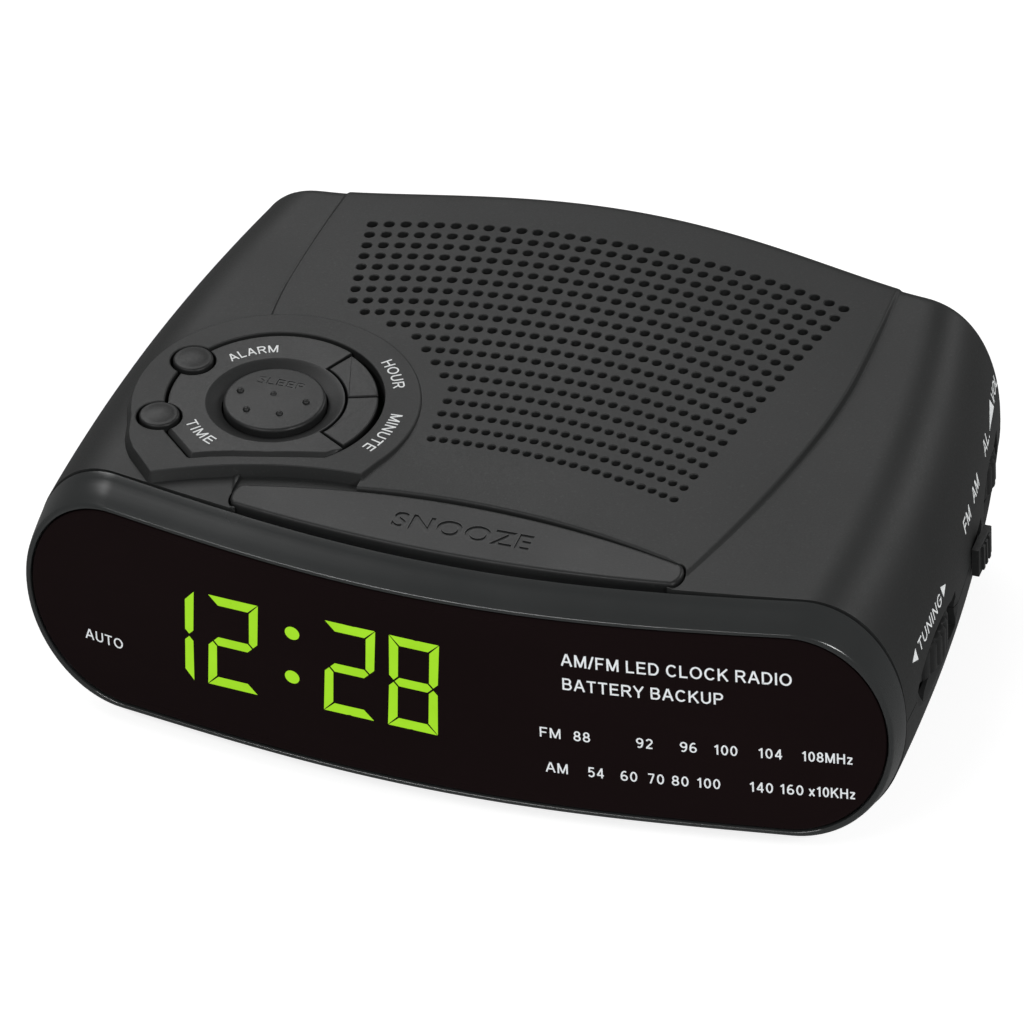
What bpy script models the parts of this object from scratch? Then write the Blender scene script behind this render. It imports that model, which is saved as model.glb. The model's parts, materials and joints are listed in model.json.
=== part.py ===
"""Mains clock radio: two-part case, curved lens front, button cluster, radio and clock inside.

Every length below is in millimetres and is turned into metres when a mesh is made.
Plan positions are given as (x, depth), where depth runs back from the middle of the front rim.
"""
import math

import bmesh
import bpy
from mathutils import Matrix, Vector

MM = 0.001

# ---- whole object ---------------------------------------------------------------------------
DEPTH = 135.5            # front rim to the middle of the back
GAP = 0.3                # clearance between neighbouring pieces
WALL = 2.0               # case wall
PARTING = 32.0           # height of the joint between the two case halves
UNDERSIDE = 3.0          # height of the case underside over the table

# ---- front ----------------------------------------------------------------------------------
RIM_HALF_WIDTH = 95.0
RIM_HALF_HEIGHT = 27.2
RIM_CENTRE = 32.6
RIM_END = 21.0           # length of the rounded ends of the front outline
RIM_WAIST = 1.4          # the outline is this much lower in the middle
BULGE = 16.4             # how far the ends of the front sweep back
BULGE_FLAT = 4.6
SEAM_BACK = 8.0          # bezel depth from the rim to the case
SEAM_RISE = 2.9

# ---- body -----------------------------------------------------------------------------------
BODY_HALF_WIDTH = 95.3
BODY_TAPER = 11.0        # how much narrower each side is at the back
TAPER_POWER = 2.1
BACK_SWEEP = 24.5        # how far the back wall curves forward towards its ends
BACK_FLAT = 14.0
BACK_HALF_WIDTH = 80.0
SHOULDER_FRONT = 62.3    # height of the shoulders at the front and at the back
SHOULDER_BACK = 61.3
TOP_END = (20.5, 16.2)   # width of the rounded shoulder, front and back
LOW_END = (21.0, 24.0)
TOP_POWER = (2.1, 2.3)
LOW_POWER = 2.1
BACK_ROUND = 4.0
DOME_TOP = 64.5          # highest line of the raised middle section
DOME_DEPTH = 84.0
DOME_CROWN = 1.35
CREASE = 62.9            # half-width of the raised middle section at its widest

# ---- top controls ---------------------------------------------------------------------------
CLUSTER = (-50.5, 46.5)
PLATEAU_CENTRE = (-50.0, 45.8)
PLATEAU_RADIUS = 30.4
PLATEAU_TOP = 64.7
LEDGE = 61.9             # sunken strip between the plateau and the snooze bar
PLATEAU_BASE = 60.0      # inside the wall all round, where the shoulder falls away
DISC_RADIUS = 22.4
DISC_TOP = 64.4
DISC_UNDER = 62.1
DISC_GROOVE = 0.6
SLEEP_RADIUS = 10.8
DISH_RADIUS = 14.5
ROUND_BUTTON_RADIUS = 4.25
ROUND_BUTTONS = {"alarm_button": (-71.5, 54.4), "time_button": (-71.7, 34.4)}
KEY_INNER = 15.2
KEY_OUTER = 21.6
KEY_TOP = 64.4
KEY_ANGLES = {"hour_button": (20.0, 62.2), "minute_button": (-29.8, 20.0)}
KEY_OPENING = (-31.0, 63.4)
BAR_HALF_LENGTH = 49.0
BAR_TOP = 63.2
KEY_TRAVEL = 1.0
STEM_RADIUS = 1.8        # plunger under each button, down to its switch on the key board
STEM_HIGH = 61.0
SNOOZE_STEM = (-30.0, 17.5)
THROUGH = (56.0, 70.0)   # heights between which the top openings are cut

# ---- side controls --------------------------------------------------------------------------
TUNING_AXIS = (75.2, 46.0)
TUNING_RADIUS = 20.0
DRUM_RADIUS = 15.2
CORD_RADIUS = 0.4
CORD_CLEARANCE = 0.45    # from the cord to the grooves that it runs in
CORD_HEIGHT = 38.6
VOLUME_AXIS = (76.2, 103.5)
VOLUME_RADIUS = 12.2
WHEEL_LOW = 28.0
WHEEL_HIGH = 36.0
SWITCH_DEPTH = 81.0      # middle of both slide switches
BAND_REST = -2.0         # the band knob rests at its FM end
PULLEYS = {"cord_pulley_left": (24.0, 24.0), "cord_pulley_right": (84.0, 24.0)}
PULLEY_RADIUS = 3.0
POINTER_FACE = 16.4      # front of the needle, behind the lens

# ---- inside ---------------------------------------------------------------------------------
BOARD_LOW = 11.0
BOARD_HIGH = 12.6
KEY_BOARD_LOW = 50.0
KEY_BOARD_HIGH = 51.6
GLAND_HEIGHT = 15.0      # the mains cord enters here, on the left of the back wall
GLAND_X = -64.0
SPEAKER = (14.0, 84.0)
BAY = (-33.0, 21.0, 96.0, 125.7)      # battery bay: left, right, front, back
BAY_TOP = 23.2
SCREWS = [(-72.0, 24.0), (48.0, 28.0), (-52.0, 120.5), (52.0, 120.5)]
BOSS_RADIUS = 4.0
SCREW_BORE = 1.8
TACT_BODY = 3.4          # height of a tact switch, and of the switch with its plunger
TACT_HEIGHT = 4.3
FEET = [(-64.0, 34.0), (64.0, 34.0), (-50.0, 108.0), (50.0, 108.0)]


# ---- materials ------------------------------------------------------------------------------
MATERIALS = {
    "case_plastic": ((0.040, 0.041, 0.043), 0.55, 0.0),
    "button_plastic": ((0.034, 0.035, 0.037), 0.45, 0.0),
    "bezel_gloss": ((0.014, 0.015, 0.017), 0.18, 0.0),
    "lens_smoke": ((0.008, 0.005, 0.006), 0.06, 0.0),
    "board_green": ((0.020, 0.120, 0.050), 0.50, 0.0),
    "switch_black": ((0.020, 0.020, 0.022), 0.40, 0.0),
    "display_dark": ((0.030, 0.032, 0.034), 0.35, 0.0),
    "dial_white": ((0.620, 0.620, 0.600), 0.50, 0.0),
    "pointer_red": ((0.550, 0.060, 0.030), 0.40, 0.0),
    "cord_white": ((0.600, 0.580, 0.520), 0.80, 0.0),
    "nylon_white": ((0.700, 0.690, 0.660), 0.45, 0.0),
    "steel": ((0.560, 0.570, 0.580), 0.32, 1.0),
    "lamination": ((0.180, 0.180, 0.190), 0.50, 1.0),
    "copper": ((0.720, 0.330, 0.140), 0.35, 1.0),
    "ferrite": ((0.050, 0.050, 0.052), 0.60, 0.0),
    "cone_paper": ((0.045, 0.043, 0.040), 0.85, 0.0),
    "rubber": ((0.025, 0.025, 0.025), 0.85, 0.0),
}


def clear_scene():
    for item in list(bpy.data.objects):
        bpy.data.objects.remove(item, do_unlink=True)


def material(name):
    found = bpy.data.materials.get(name)
    if found:
        return found
    colour, roughness, metallic = MATERIALS[name]
    made = bpy.data.materials.new(name)
    made.use_nodes = True
    shader = made.node_tree.nodes["Principled BSDF"]
    shader.inputs["Base Color"].default_value = (*colour, 1.0)
    shader.inputs["Roughness"].default_value = roughness
    shader.inputs["Metallic"].default_value = metallic
    return made


# ---- mesh helpers ---------------------------------------------------------------------------
def point(x, depth, z):
    return Vector((x, depth - DEPTH / 2, z))


def finish(bm, name, slot, origin=(0.0, DEPTH / 2, 0.0), smooth=False):
    """Turn a millimetre bmesh into an object in metres whose origin is at (x, depth, z)."""
    bmesh.ops.remove_doubles(bm, verts=bm.verts, dist=1e-4)
    bmesh.ops.recalc_face_normals(bm, faces=bm.faces)
    if bm.calc_volume(signed=True) < 0:
        bmesh.ops.reverse_faces(bm, faces=bm.faces)
    centre = point(*origin)
    for vert in bm.verts:
        vert.co = (vert.co - centre) * MM
    mesh = bpy.data.meshes.new(name)
    bm.to_mesh(mesh)
    bm.free()
    if smooth:
        mesh.shade_smooth()
        mesh.set_sharp_from_angle(angle=math.radians(35))
    made = bpy.data.objects.new(name, mesh)
    made.location = centre * MM
    made.data.materials.append(material(slot))
    bpy.context.scene.collection.objects.link(made)
    return made


def carve(target, tool, operation):
    """Apply a Boolean between two objects and remove the tool."""
    bpy.context.view_layer.update()
    modifier = target.modifiers.new("carve", "BOOLEAN")
    modifier.operation = operation
    modifier.object = tool
    bpy.context.view_layer.update()
    depsgraph = bpy.context.evaluated_depsgraph_get()
    carved = bpy.data.meshes.new_from_object(target.evaluated_get(depsgraph))
    target.modifiers.clear()
    target.data = carved
    bpy.data.objects.remove(tool, do_unlink=True)


def cut(target, bm):
    carve(target, finish(bm, "tool", "case_plastic"), "DIFFERENCE")


def add(target, bm):
    carve(target, finish(bm, "tool", "case_plastic"), "UNION")


def prism(bm, outline, low, high):
    """Upright prism over a plan outline of (x, depth) points."""
    bottom = [bm.verts.new(point(x, d, low)) for x, d in outline]
    top = [bm.verts.new(point(x, d, high)) for x, d in outline]
    bm.faces.new(bottom)
    bm.faces.new(top)
    count = len(outline)
    for i in range(count):
        j = (i + 1) % count
        bm.faces.new((bottom[i], bottom[j], top[j], top[i]))
    return bm


def box(x0, x1, d0, d1, z0, z1):
    return prism(bmesh.new(), [(x0, d0), (x1, d0), (x1, d1), (x0, d1)], z0, z1)


def circle(centre, radius, count, start=0.0, stop=360.0, closed=True):
    """Plan points on an arc; a closed circle leaves out its repeated last point."""
    steps = count if closed else count - 1
    points = []
    for i in range(count):
        angle = math.radians(start + (stop - start) * i / steps)
        points.append((centre[0] + radius * math.cos(angle), centre[1] + radius * math.sin(angle)))
    return points


def post(centre, radius, z0, z1, count=16):
    return prism(bmesh.new(), circle(centre, radius, count), z0, z1)


def lathe(centre, profile, count=32):
    """Solid of revolution about a vertical axis; the profile is (radius, z), closed on itself."""
    bm = bmesh.new()
    rings = []
    for radius, z in profile:
        if radius < 1e-6:
            rings.append([bm.verts.new(point(centre[0], centre[1], z))] * count)
        else:
            rings.append([bm.verts.new(point(x, d, z)) for x, d in circle(centre, radius, count)])
    for ring, following in zip(rings, rings[1:] + rings[:1]):
        if ring[0] is ring[1] and following[0] is following[1]:
            continue
        for i in range(count):
            j = (i + 1) % count
            corners = []
            for vert in (ring[i], ring[j], following[j], following[i]):
                if vert not in corners:
                    corners.append(vert)
            bm.faces.new(corners)
    return bm


def turn(bm, centre, axis):
    """Lay a solid built about the vertical through the world origin along another axis."""
    spin = Vector((0, 0, 1)).rotation_difference(Vector(axis)).to_matrix().to_4x4()
    bmesh.ops.transform(bm, matrix=Matrix.Translation(point(*centre)) @ spin, verts=bm.verts)
    return bm


def loft(loops, closed_ends=True):
    """Join loops of equal length. Without closed ends the last loop joins the first."""
    bm = bmesh.new()
    rings = [[bm.verts.new(co) for co in loop] for loop in loops]
    count = len(rings[0])
    pairs = list(zip(rings, rings[1:]))
    if not closed_ends:
        pairs.append((rings[-1], rings[0]))
    for ring, following in pairs:
        for i in range(count):
            j = (i + 1) % count
            bm.faces.new((ring[i], ring[j], following[j], following[i]))
    if closed_ends:
        for ring in (rings[0], rings[-1]):
            half = count // 2
            upper = ring[:half + 1]
            lower = [ring[0]] + ring[:half - 1:-1]
            for i in range(half):
                corners = []
                for vert in (upper[i], upper[i + 1], lower[i + 1], lower[i]):
                    if vert not in corners:
                        corners.append(vert)
                if len(corners) > 2:
                    bm.faces.new(corners)
    return bm


# ---- shapes of the case and front -----------------------------------------------------------
def bulge(x):
    s = min(abs(x) / RIM_HALF_WIDTH, 1.0)
    return BULGE * s ** 2 - BULGE_FLAT * s ** 4


def back(x):
    s = min(abs(x) / BACK_HALF_WIDTH, 1.1)
    return DEPTH - BACK_SWEEP * s ** 2 + BACK_FLAT * s ** 4


def blend(pair, u):
    return pair[0] + (pair[1] - pair[0]) * u


def front_loop(half_width, half_height, depth_offset, flat_steps=10, end_steps=7):
    """Front outline as a loop: along the top from left to right, then back along the bottom."""
    flat = half_width - RIM_END
    columns = []
    for i in range(end_steps):
        angle = math.pi / 2 * (1 - i / end_steps)
        columns.append(-flat - RIM_END * math.sin(angle))
    for i in range(flat_steps + 1):
        columns.append(-flat + 2 * flat * i / flat_steps)
    for i in range(1, end_steps + 1):
        angle = math.pi / 2 * i / end_steps
        columns.append(flat + RIM_END * math.sin(angle))
    upper = []
    lower = []
    for x in columns:
        over = max(abs(x) - flat, 0.0) / RIM_END
        height = half_height * math.sqrt(max(1.0 - over ** 2, 0.0))
        waist = RIM_WAIST * (1.0 - min(abs(x) / RIM_HALF_WIDTH, 1.0) ** 2) * min(height / 10.0, 1.0)
        depth = bulge(x) + depth_offset
        upper.append(point(x, depth, RIM_CENTRE + height - waist))
        lower.append(point(x, depth, RIM_CENTRE - height + waist))
    return upper + lower[-2:0:-1]


def half_width(u):
    return BODY_HALF_WIDTH - BODY_TAPER * max(u, 0.0) ** TAPER_POWER


def dome(x, depth):
    drop = 0.5 if depth < DOME_DEPTH else 2.0
    return DOME_TOP - drop * ((depth - DOME_DEPTH) / 50.0) ** 2 - DOME_CROWN * (x / 60.0) ** 2


def crease(depth):
    if depth > 93.0:
        return CREASE - 0.0009 * (depth - 93.0) ** 2
    return CREASE - 0.00906 * (93.0 - depth) ** 1.7


def half_body(upper, inset, base, rows, end_steps):
    """Closed half of the case volume, above or below the parting line.

    inset shrinks it evenly, for the hollow; base is the height of its flat face.
    """
    sign = 1.0 if upper else -1.0
    hollow = inset > 0
    stations = []
    for i in range(rows + 1):
        u = i / rows
        if hollow:
            u = -0.08 + 1.08 * u
        stations.append((u, 0.0, 0.0))
    for i in range(1, 4):
        angle = math.pi / 2 * i / 3
        stations.append((1.0, BACK_ROUND * math.sin(angle), BACK_ROUND * (1 - math.cos(angle))))
    loops = []
    for u, behind, shrink in stations:
        width = half_width(u) - inset - shrink
        shoulder = blend((SHOULDER_FRONT, SHOULDER_BACK), max(u, 0.0))
        level = shoulder if upper else UNDERSIDE
        height = abs(level - PARTING) - inset - shrink
        power = blend(TOP_POWER, max(u, 0.0)) if upper else LOW_POWER
        rough_depth = blend((SEAM_BACK + 6.0, DEPTH - 8.0), max(u, 0.0))
        ridge = crease(rough_depth)
        end = blend(TOP_END if upper else LOW_END, max(u, 0.0))
        flat = max(width - end, ridge + 1.6) if upper else width - end
        end = width - flat
        side = [(flat + end * math.sin(math.pi / 2 * k / end_steps) ** (2 / power),
                 height * math.cos(math.pi / 2 * k / end_steps) ** (2 / power))
                for k in range(end_steps + 1)]
        if upper:
            middle = [ridge * k / 5 for k in range(6)] + [ridge + 1.2]
            if flat > ridge + 3:
                middle.append((ridge + 1.2 + flat) / 2)
            else:
                middle.append(ridge + 1.4)
        else:
            middle = [flat * k / 6 for k in range(6)]
        right = [(x, None) for x in middle] + side
        points = [(-x, h) for x, h in reversed(right[1:])] + right
        top_line = []
        base_line = []
        for x, h in points:
            start = SEAM_BACK + GAP / 2 + bulge(x)
            depth = start + u * (back(x) - BACK_ROUND - start) + behind
            if hollow:
                depth -= inset * max(u, 0.0)
            height_here = height if h is None else h
            z = PARTING + sign * height_here
            if upper and abs(x) <= ridge + 1e-6:
                z = max(z, dome(x, min(depth, DEPTH)) - inset - shrink)
            z = max(z, base) if upper else min(z, base)
            top_line.append(point(x, depth, z))
            base_line.append(point(x, depth, base))
        loops.append(top_line + base_line[::-1])
    bm = bmesh.new()
    rings = [[bm.verts.new(co) for co in loop] for loop in loops]
    count = len(rings[0])
    for ring, following in zip(rings, rings[1:]):
        for i in range(count):
            j = (i + 1) % count
            bm.faces.new((ring[i], ring[j], following[j], following[i]))
    for ring in (rings[0], rings[-1]):
        for i in range(count // 2 - 1):
            bm.faces.new((ring[i], ring[i + 1], ring[count - 2 - i], ring[count - 1 - i]))
    return bm


def step_line(x):
    """Depth of the front edge of the raised middle section, just behind the snooze bar."""
    return 26.1 - 6.9 * (x / 50.0) ** 2


def bar_outline(margin):
    """Plan outline of the snooze bar, grown by margin at the ends and the back."""
    reach = BAR_HALF_LENGTH + margin
    front = []
    rear = []
    for i in range(13):
        x = -reach + 2.0 + (2 * reach - 4.0) * i / 12
        front.append((x, 9.0 + 3.5 * (x / 46.0) ** 2 - margin))
        rear.append((x, step_line(x) - 0.5 + margin))
    tip = (front[-1][1] + rear[-1][1]) / 2
    side = (rear[-1][1] - front[-1][1]) / 4
    right = [(reach, tip - side), (reach, tip + side)]
    left = [(-reach, tip + side), (-reach, tip - side)]
    return front + right + rear[::-1] + left


def plateau_outline():
    arc = circle(PLATEAU_CENTRE, PLATEAU_RADIUS, 25, -34.0, 205.0, closed=False)
    left = [(-76.1, 27.6), (-73.3, 22.6), (-66.9, 15.9)]
    front = [(-24.6 - 42.3 * k / 6, 27.4 - 11.5 * (k / 6) ** 2) for k in range(5, -1, -1)]
    return arc + left + front


def ledge_outline():
    """Strip in front of the plateau, from the snooze bar back to well under the plateau."""
    return [(-49.5, 17.0), (-24.6, 22.0), (-24.6, 31.0), (-49.5, 26.0)]


def disc_outline(margin):
    arc = circle(CLUSTER, DISC_RADIUS + margin, 25, -43.0, 203.0, closed=False)
    return arc + [(-68.4 - margin, 30.2), (-60.8 - margin / 2, 23.2 - margin), (-49.1, 27.2 - margin)]


def sector(inner, outer, start, stop, count=9):
    return (circle(CLUSTER, outer, count, start, stop, closed=False)
            + circle(CLUSTER, inner, count, stop, start, closed=False))


def scoop(centre, size):
    """Shallow finger recess in a side wall."""
    bm = bmesh.new()
    bmesh.ops.create_uvsphere(bm, u_segments=16, v_segments=8, radius=1.0)
    shape = Matrix.Translation(point(*centre)) @ Matrix.Diagonal((*size, 1.0))
    bmesh.ops.transform(bm, matrix=shape, verts=bm.verts)
    return bm


# ---- case -----------------------------------------------------------------------------------
def side_openings(case):
    """Wheel scoops and slots and the two slide switch slots, shared by both case halves."""
    cut(case, scoop((TUNING_AXIS[0] + 20.6, TUNING_AXIS[1], PARTING), (3.4, 19.0, 7.0)))
    cut(case, scoop((VOLUME_AXIS[0] + 13.2, VOLUME_AXIS[1], PARTING), (3.0, 14.0, 6.6)))
    for axis, reach in ((TUNING_AXIS, 13.0), (VOLUME_AXIS, 10.5)):
        cut(case, box(83.0 if reach > 12 else 78.0, 100.0, axis[1] - reach, axis[1] + reach,
                      WHEEL_LOW - 0.6, WHEEL_HIGH + 0.6))
    for side in (-1, 1):
        x0, x1 = sorted((side * 82.0, side * 99.0))
        cut(case, box(x0, x1, SWITCH_DEPTH - 6.2, SWITCH_DEPTH + 6.2, PARTING - 2.2, PARTING + 2.2))


def top_case():
    case = finish(half_body(True, 0.0, PARTING + GAP / 2, 12, 6), "top_case", "case_plastic", smooth=True)
    cut(case, half_body(True, WALL, PARTING - 3.0, 8, 5))
    add(case, prism(bmesh.new(), ledge_outline(), PLATEAU_BASE + GAP, LEDGE + 0.5))
    cut(case, prism(bmesh.new(), ledge_outline(), LEDGE, THROUGH[1]))
    add(case, prism(bmesh.new(), plateau_outline(), PLATEAU_BASE, PLATEAU_TOP))
    cut(case, prism(bmesh.new(), disc_outline(DISC_GROOVE), *THROUGH))
    for centre in ROUND_BUTTONS.values():
        cut(case, post(centre, ROUND_BUTTON_RADIUS + 0.6, *THROUGH, 24))
    cut(case, prism(bmesh.new(), bar_outline(0.4), *THROUGH))
    cut(case, box(-BAR_HALF_LENGTH + 2.0, BAR_HALF_LENGTH - 2.0, 4.0, 13.0, *THROUGH))
    for centre in SCREWS:
        add(case, post(centre, BOSS_RADIUS, PARTING + GAP / 2, 61.3, 12))
        cut(case, post(centre, SCREW_BORE, PARTING - 1.0, 47.0, 10))
    side_openings(case)


def bottom_case():
    case = finish(half_body(False, 0.0, PARTING - GAP / 2, 11, 6), "bottom_case", "case_plastic", smooth=True)
    cut(case, half_body(False, WALL, PARTING + 3.0, 8, 5))
    left, right, near, far = BAY
    add(case, box(left - 1.8, right + 1.8, near - 1.8, far + 1.8, 4.0, BAY_TOP + 1.8))
    cut(case, box(left, right, near, far, -1.0, BAY_TOP))
    for centre in SCREWS:
        add(case, post(centre, BOSS_RADIUS + 0.2, UNDERSIDE + 1.0, PARTING - GAP / 2, 12))
        cut(case, post(centre, BOSS_RADIUS - 0.6, -1.0, 9.0, 12))
        cut(case, post(centre, SCREW_BORE, 5.0, 40.0, 10))
    for centre in FEET:
        cut(case, post(centre, 6.3, -1.0, 4.0, 20))
    side_openings(case)
    hole = lathe((0.0, DEPTH / 2), [(0, -8), (3.6, -8), (3.6, 8), (0, 8)], 16)
    cut(case, turn(hole, *gland_place()))


def gland_place():
    """Where the mains cord enters: centre on the back wall and its outward direction."""
    slope = back(GLAND_X - 0.5) - back(GLAND_X + 0.5)
    return (GLAND_X, back(GLAND_X) - WALL / 2, GLAND_HEIGHT), (slope, 1.0, 0.0)


def front_bezel():
    sections = [(0.0, 0.0, 0.5), (-0.5, -0.5, 0.0), (-1.1, -1.1, 0.2), (-1.2, -1.2, 2.6), (-4.0, -4.0, 2.6),
                (-4.0, -4.0, SEAM_BACK - 0.2), (0.4, SEAM_RISE, SEAM_BACK - 0.2), (0.35, 2.1, 5.8)]
    loops = [front_loop(RIM_HALF_WIDTH + w, RIM_HALF_HEIGHT + h, d) for w, h, d in sections]
    finish(loft(loops, closed_ends=False), "front_bezel", "bezel_gloss", smooth=True)


def display_lens():
    sections = [(-1.5, 2.3), (-1.5, 0.5), (-1.8, 0.3)]
    loops = [front_loop(RIM_HALF_WIDTH + w, RIM_HALF_HEIGHT + w, d) for w, d in sections]
    finish(loft(loops), "display_lens", "lens_smoke", smooth=True)


def feet():
    for i, (x, depth) in enumerate(FEET):
        profile = [(0, 0), (5.2, 0), (6.0, 0.8), (6.0, 3.7), (0, 3.7)]
        finish(lathe((x, depth), profile, 20), f"foot_{i + 1}", "rubber", (x, depth, 0.0), True)


def case_screws():
    for i, centre in enumerate(SCREWS):
        profile = [(0, 6.6), (2.9, 6.6), (2.9, 8.7), (1.3, 8.7), (1.3, 44.0), (0, 45.0)]
        finish(lathe(centre, profile, 10), f"case_screw_{i + 1}", "steel", (*centre, 8.7), True)


def cord_gland():
    profile = [(1.9, -4.5), (5.0, -4.5), (5.0, -2.4), (3.2, -2.4),
               (3.2, 2.4), (5.2, 2.4), (4.6, 4.4), (1.9, 4.4)]
    bm = turn(lathe((0.0, DEPTH / 2), profile, 16), *gland_place())
    finish(bm, "cord_gland", "rubber", smooth=True)


# ---- buttons --------------------------------------------------------------------------------
def button_stem(button, centre):
    """Add the plunger, which rests one travel and two gaps above the switch it works."""
    low = KEY_BOARD_HIGH + GAP + TACT_HEIGHT + GAP + KEY_TRAVEL
    add(button, post(centre, STEM_RADIUS, low, STEM_HIGH, 10))


def control_disc():
    blank = prism(bmesh.new(), disc_outline(0.0), DISC_UNDER, DISC_TOP)
    disc = finish(blank, "control_disc", "button_plastic")
    cut(disc, lathe(CLUSTER, [(0, 62.9), (SLEEP_RADIUS + 0.4, 62.9), (DISH_RADIUS, DISC_TOP + 0.05),
                              (DISH_RADIUS, 70.0), (0, 70.0)], 40))
    cut(disc, post(CLUSTER, SLEEP_RADIUS + 0.4, *THROUGH, 40))
    cut(disc, prism(bmesh.new(), sector(KEY_INNER - 0.5, DISC_RADIUS + 4.0, *KEY_OPENING, 13), *THROUGH))
    for centre in ROUND_BUTTONS.values():
        cut(disc, post(centre, ROUND_BUTTON_RADIUS + 0.5, *THROUGH, 24))


def sleep_button():
    profile = [(0, 58.4), (12.4, 58.4), (12.4, 59.8), (SLEEP_RADIUS, 59.8), (SLEEP_RADIUS, 64.1),
               (SLEEP_RADIUS - 0.7, 64.7), (7.0, 65.2), (0, 65.4)]
    button = finish(lathe(CLUSTER, profile, 40), "sleep_button", "button_plastic", (*CLUSTER, 64.0), True)
    button_stem(button, CLUSTER)


def round_buttons():
    for name, centre in ROUND_BUTTONS.items():
        radius = ROUND_BUTTON_RADIUS
        profile = [(0, 57.9), (radius + 0.9, 57.9), (radius + 0.9, 58.8), (radius, 58.8), (radius, 64.7),
                   (radius - 0.5, 65.3), (2.2, 65.6), (0, 65.7)]
        button = finish(lathe(centre, profile, 24), name, "button_plastic", (*centre, 64.0), True)
        button_stem(button, centre)


def key_centre(start, stop):
    angle = math.radians((start + stop) / 2)
    reach = (KEY_INNER + KEY_OUTER) / 2
    return (CLUSTER[0] + reach * math.cos(angle), CLUSTER[1] + reach * math.sin(angle))


def arc_buttons():
    for name, (start, stop) in KEY_ANGLES.items():
        outline = sector(KEY_INNER, KEY_OUTER, start + 0.7, stop - 0.7)
        centre = key_centre(start, stop)
        button = finish(prism(bmesh.new(), outline, 59.0, KEY_TOP), name, "button_plastic", (*centre, 64.0))
        button_stem(button, centre)


def snooze_button():
    low = 58.6
    bar = prism(bmesh.new(), bar_outline(0.0), low, BAR_TOP)
    button = finish(bar, "snooze_button", "button_plastic", (0.0, 17.5, 62.0))
    for side in (-1, 1):
        x0, x1 = sorted((side * (BAR_HALF_LENGTH - 3.0), side * (BAR_HALF_LENGTH + 2.0)))
        add(button, box(x0, x1, 14.5, 18.0, low, low + 1.3))
    button_stem(button, SNOOZE_STEM)


def key_board():
    outline = [(-77.0, 29.5), (-66.5, 29.5), (-66.5, 13.5), (-19.0, 13.5), (-19.0, 74.0), (-77.0, 74.0)]
    finish(prism(bmesh.new(), outline, KEY_BOARD_LOW, KEY_BOARD_HIGH), "key_board", "board_green")
    places = {"sleep": CLUSTER, "snooze": SNOOZE_STEM}
    for name, centre in ROUND_BUTTONS.items():
        places[name.split("_")[0]] = centre
    for name, angles in KEY_ANGLES.items():
        places[name.split("_")[0]] = key_centre(*angles)
    base = KEY_BOARD_HIGH + GAP
    for name, (x, depth) in places.items():
        body = box(x - 3, x + 3, depth - 3, depth + 3, base, base + TACT_BODY)
        switch = finish(body, f"{name}_tact_switch", "switch_black")
        add(switch, post((x, depth), STEM_RADIUS - 0.1, base + TACT_BODY - 0.4, base + TACT_HEIGHT, 12))


# ---- tuning ---------------------------------------------------------------------------------
def wheel(name, centre, radius, profile_above, grooves, slot):
    """Thumb wheel with a grooved rim."""
    profile = [(3.0, WHEEL_LOW), (radius - 1.0, WHEEL_LOW), (radius, WHEEL_LOW + 1.0),
               (radius, WHEEL_HIGH - 1.0), (radius - 1.0, WHEEL_HIGH)] + profile_above
    bm = lathe(centre, profile, grooves * 2)
    axis = point(*centre, 0.0)
    for vert in bm.verts:
        reach = math.hypot(vert.co.x - axis.x, vert.co.y - axis.y)
        angle = math.atan2(vert.co.y - axis.y, vert.co.x - axis.x)
        tooth = round(angle / (math.pi / grooves)) % 2
        if reach > radius - 0.2 and tooth:
            vert.co.x -= 0.6 * math.cos(angle)
            vert.co.y -= 0.6 * math.sin(angle)
    return finish(bm, name, slot, (*centre, (WHEEL_LOW + WHEEL_HIGH) / 2), True)


def tuning_wheel():
    low = CORD_HEIGHT - 1.6
    high = CORD_HEIGHT + 1.6
    drum = [(DRUM_RADIUS + 0.9, WHEEL_HIGH), (DRUM_RADIUS + 0.9, low), (DRUM_RADIUS, low + 0.9),
            (DRUM_RADIUS, high - 0.9), (DRUM_RADIUS + 0.9, high), (3.0, high)]
    wheel("tuning_wheel", TUNING_AXIS, TUNING_RADIUS, drum, 28, "button_plastic")


def volume_wheel():
    wheel("volume_wheel", VOLUME_AXIS, VOLUME_RADIUS, [(3.0, WHEEL_HIGH)], 20, "button_plastic")


def tuning_capacitor():
    x, depth = TUNING_AXIS
    body = finish(box(x - 9.8, x + 9.8, depth - 9.8, depth + 9.8, BOARD_HIGH + GAP, 25.4),
                  "tuning_capacitor", "nylon_white")
    add(body, post(TUNING_AXIS, 2.6, 25.0, CORD_HEIGHT + 1.0, 16))


def volume_pot():
    x, depth = VOLUME_AXIS
    body = finish(post(VOLUME_AXIS, 5.2, 17.0, 24.0, 20), "volume_pot", "switch_black", smooth=True)
    add(body, box(x - 8.0, x - 3.0, depth - 3.5, depth + 3.5, BOARD_HIGH + GAP, 19.0))
    add(body, post(VOLUME_AXIS, 2.6, 23.0, WHEEL_HIGH - 1.0, 16))


def cord_pulleys():
    low = CORD_HEIGHT - 1.5
    high = CORD_HEIGHT + 1.5
    for name, centre in PULLEYS.items():
        profile = [(1.1, low), (PULLEY_RADIUS + 0.9, low), (PULLEY_RADIUS, low + 0.9),
                   (PULLEY_RADIUS, high - 0.9), (PULLEY_RADIUS + 0.9, high), (1.1, high)]
        finish(lathe(centre, profile, 20), name, "nylon_white", (*centre, CORD_HEIGHT), True)


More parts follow.
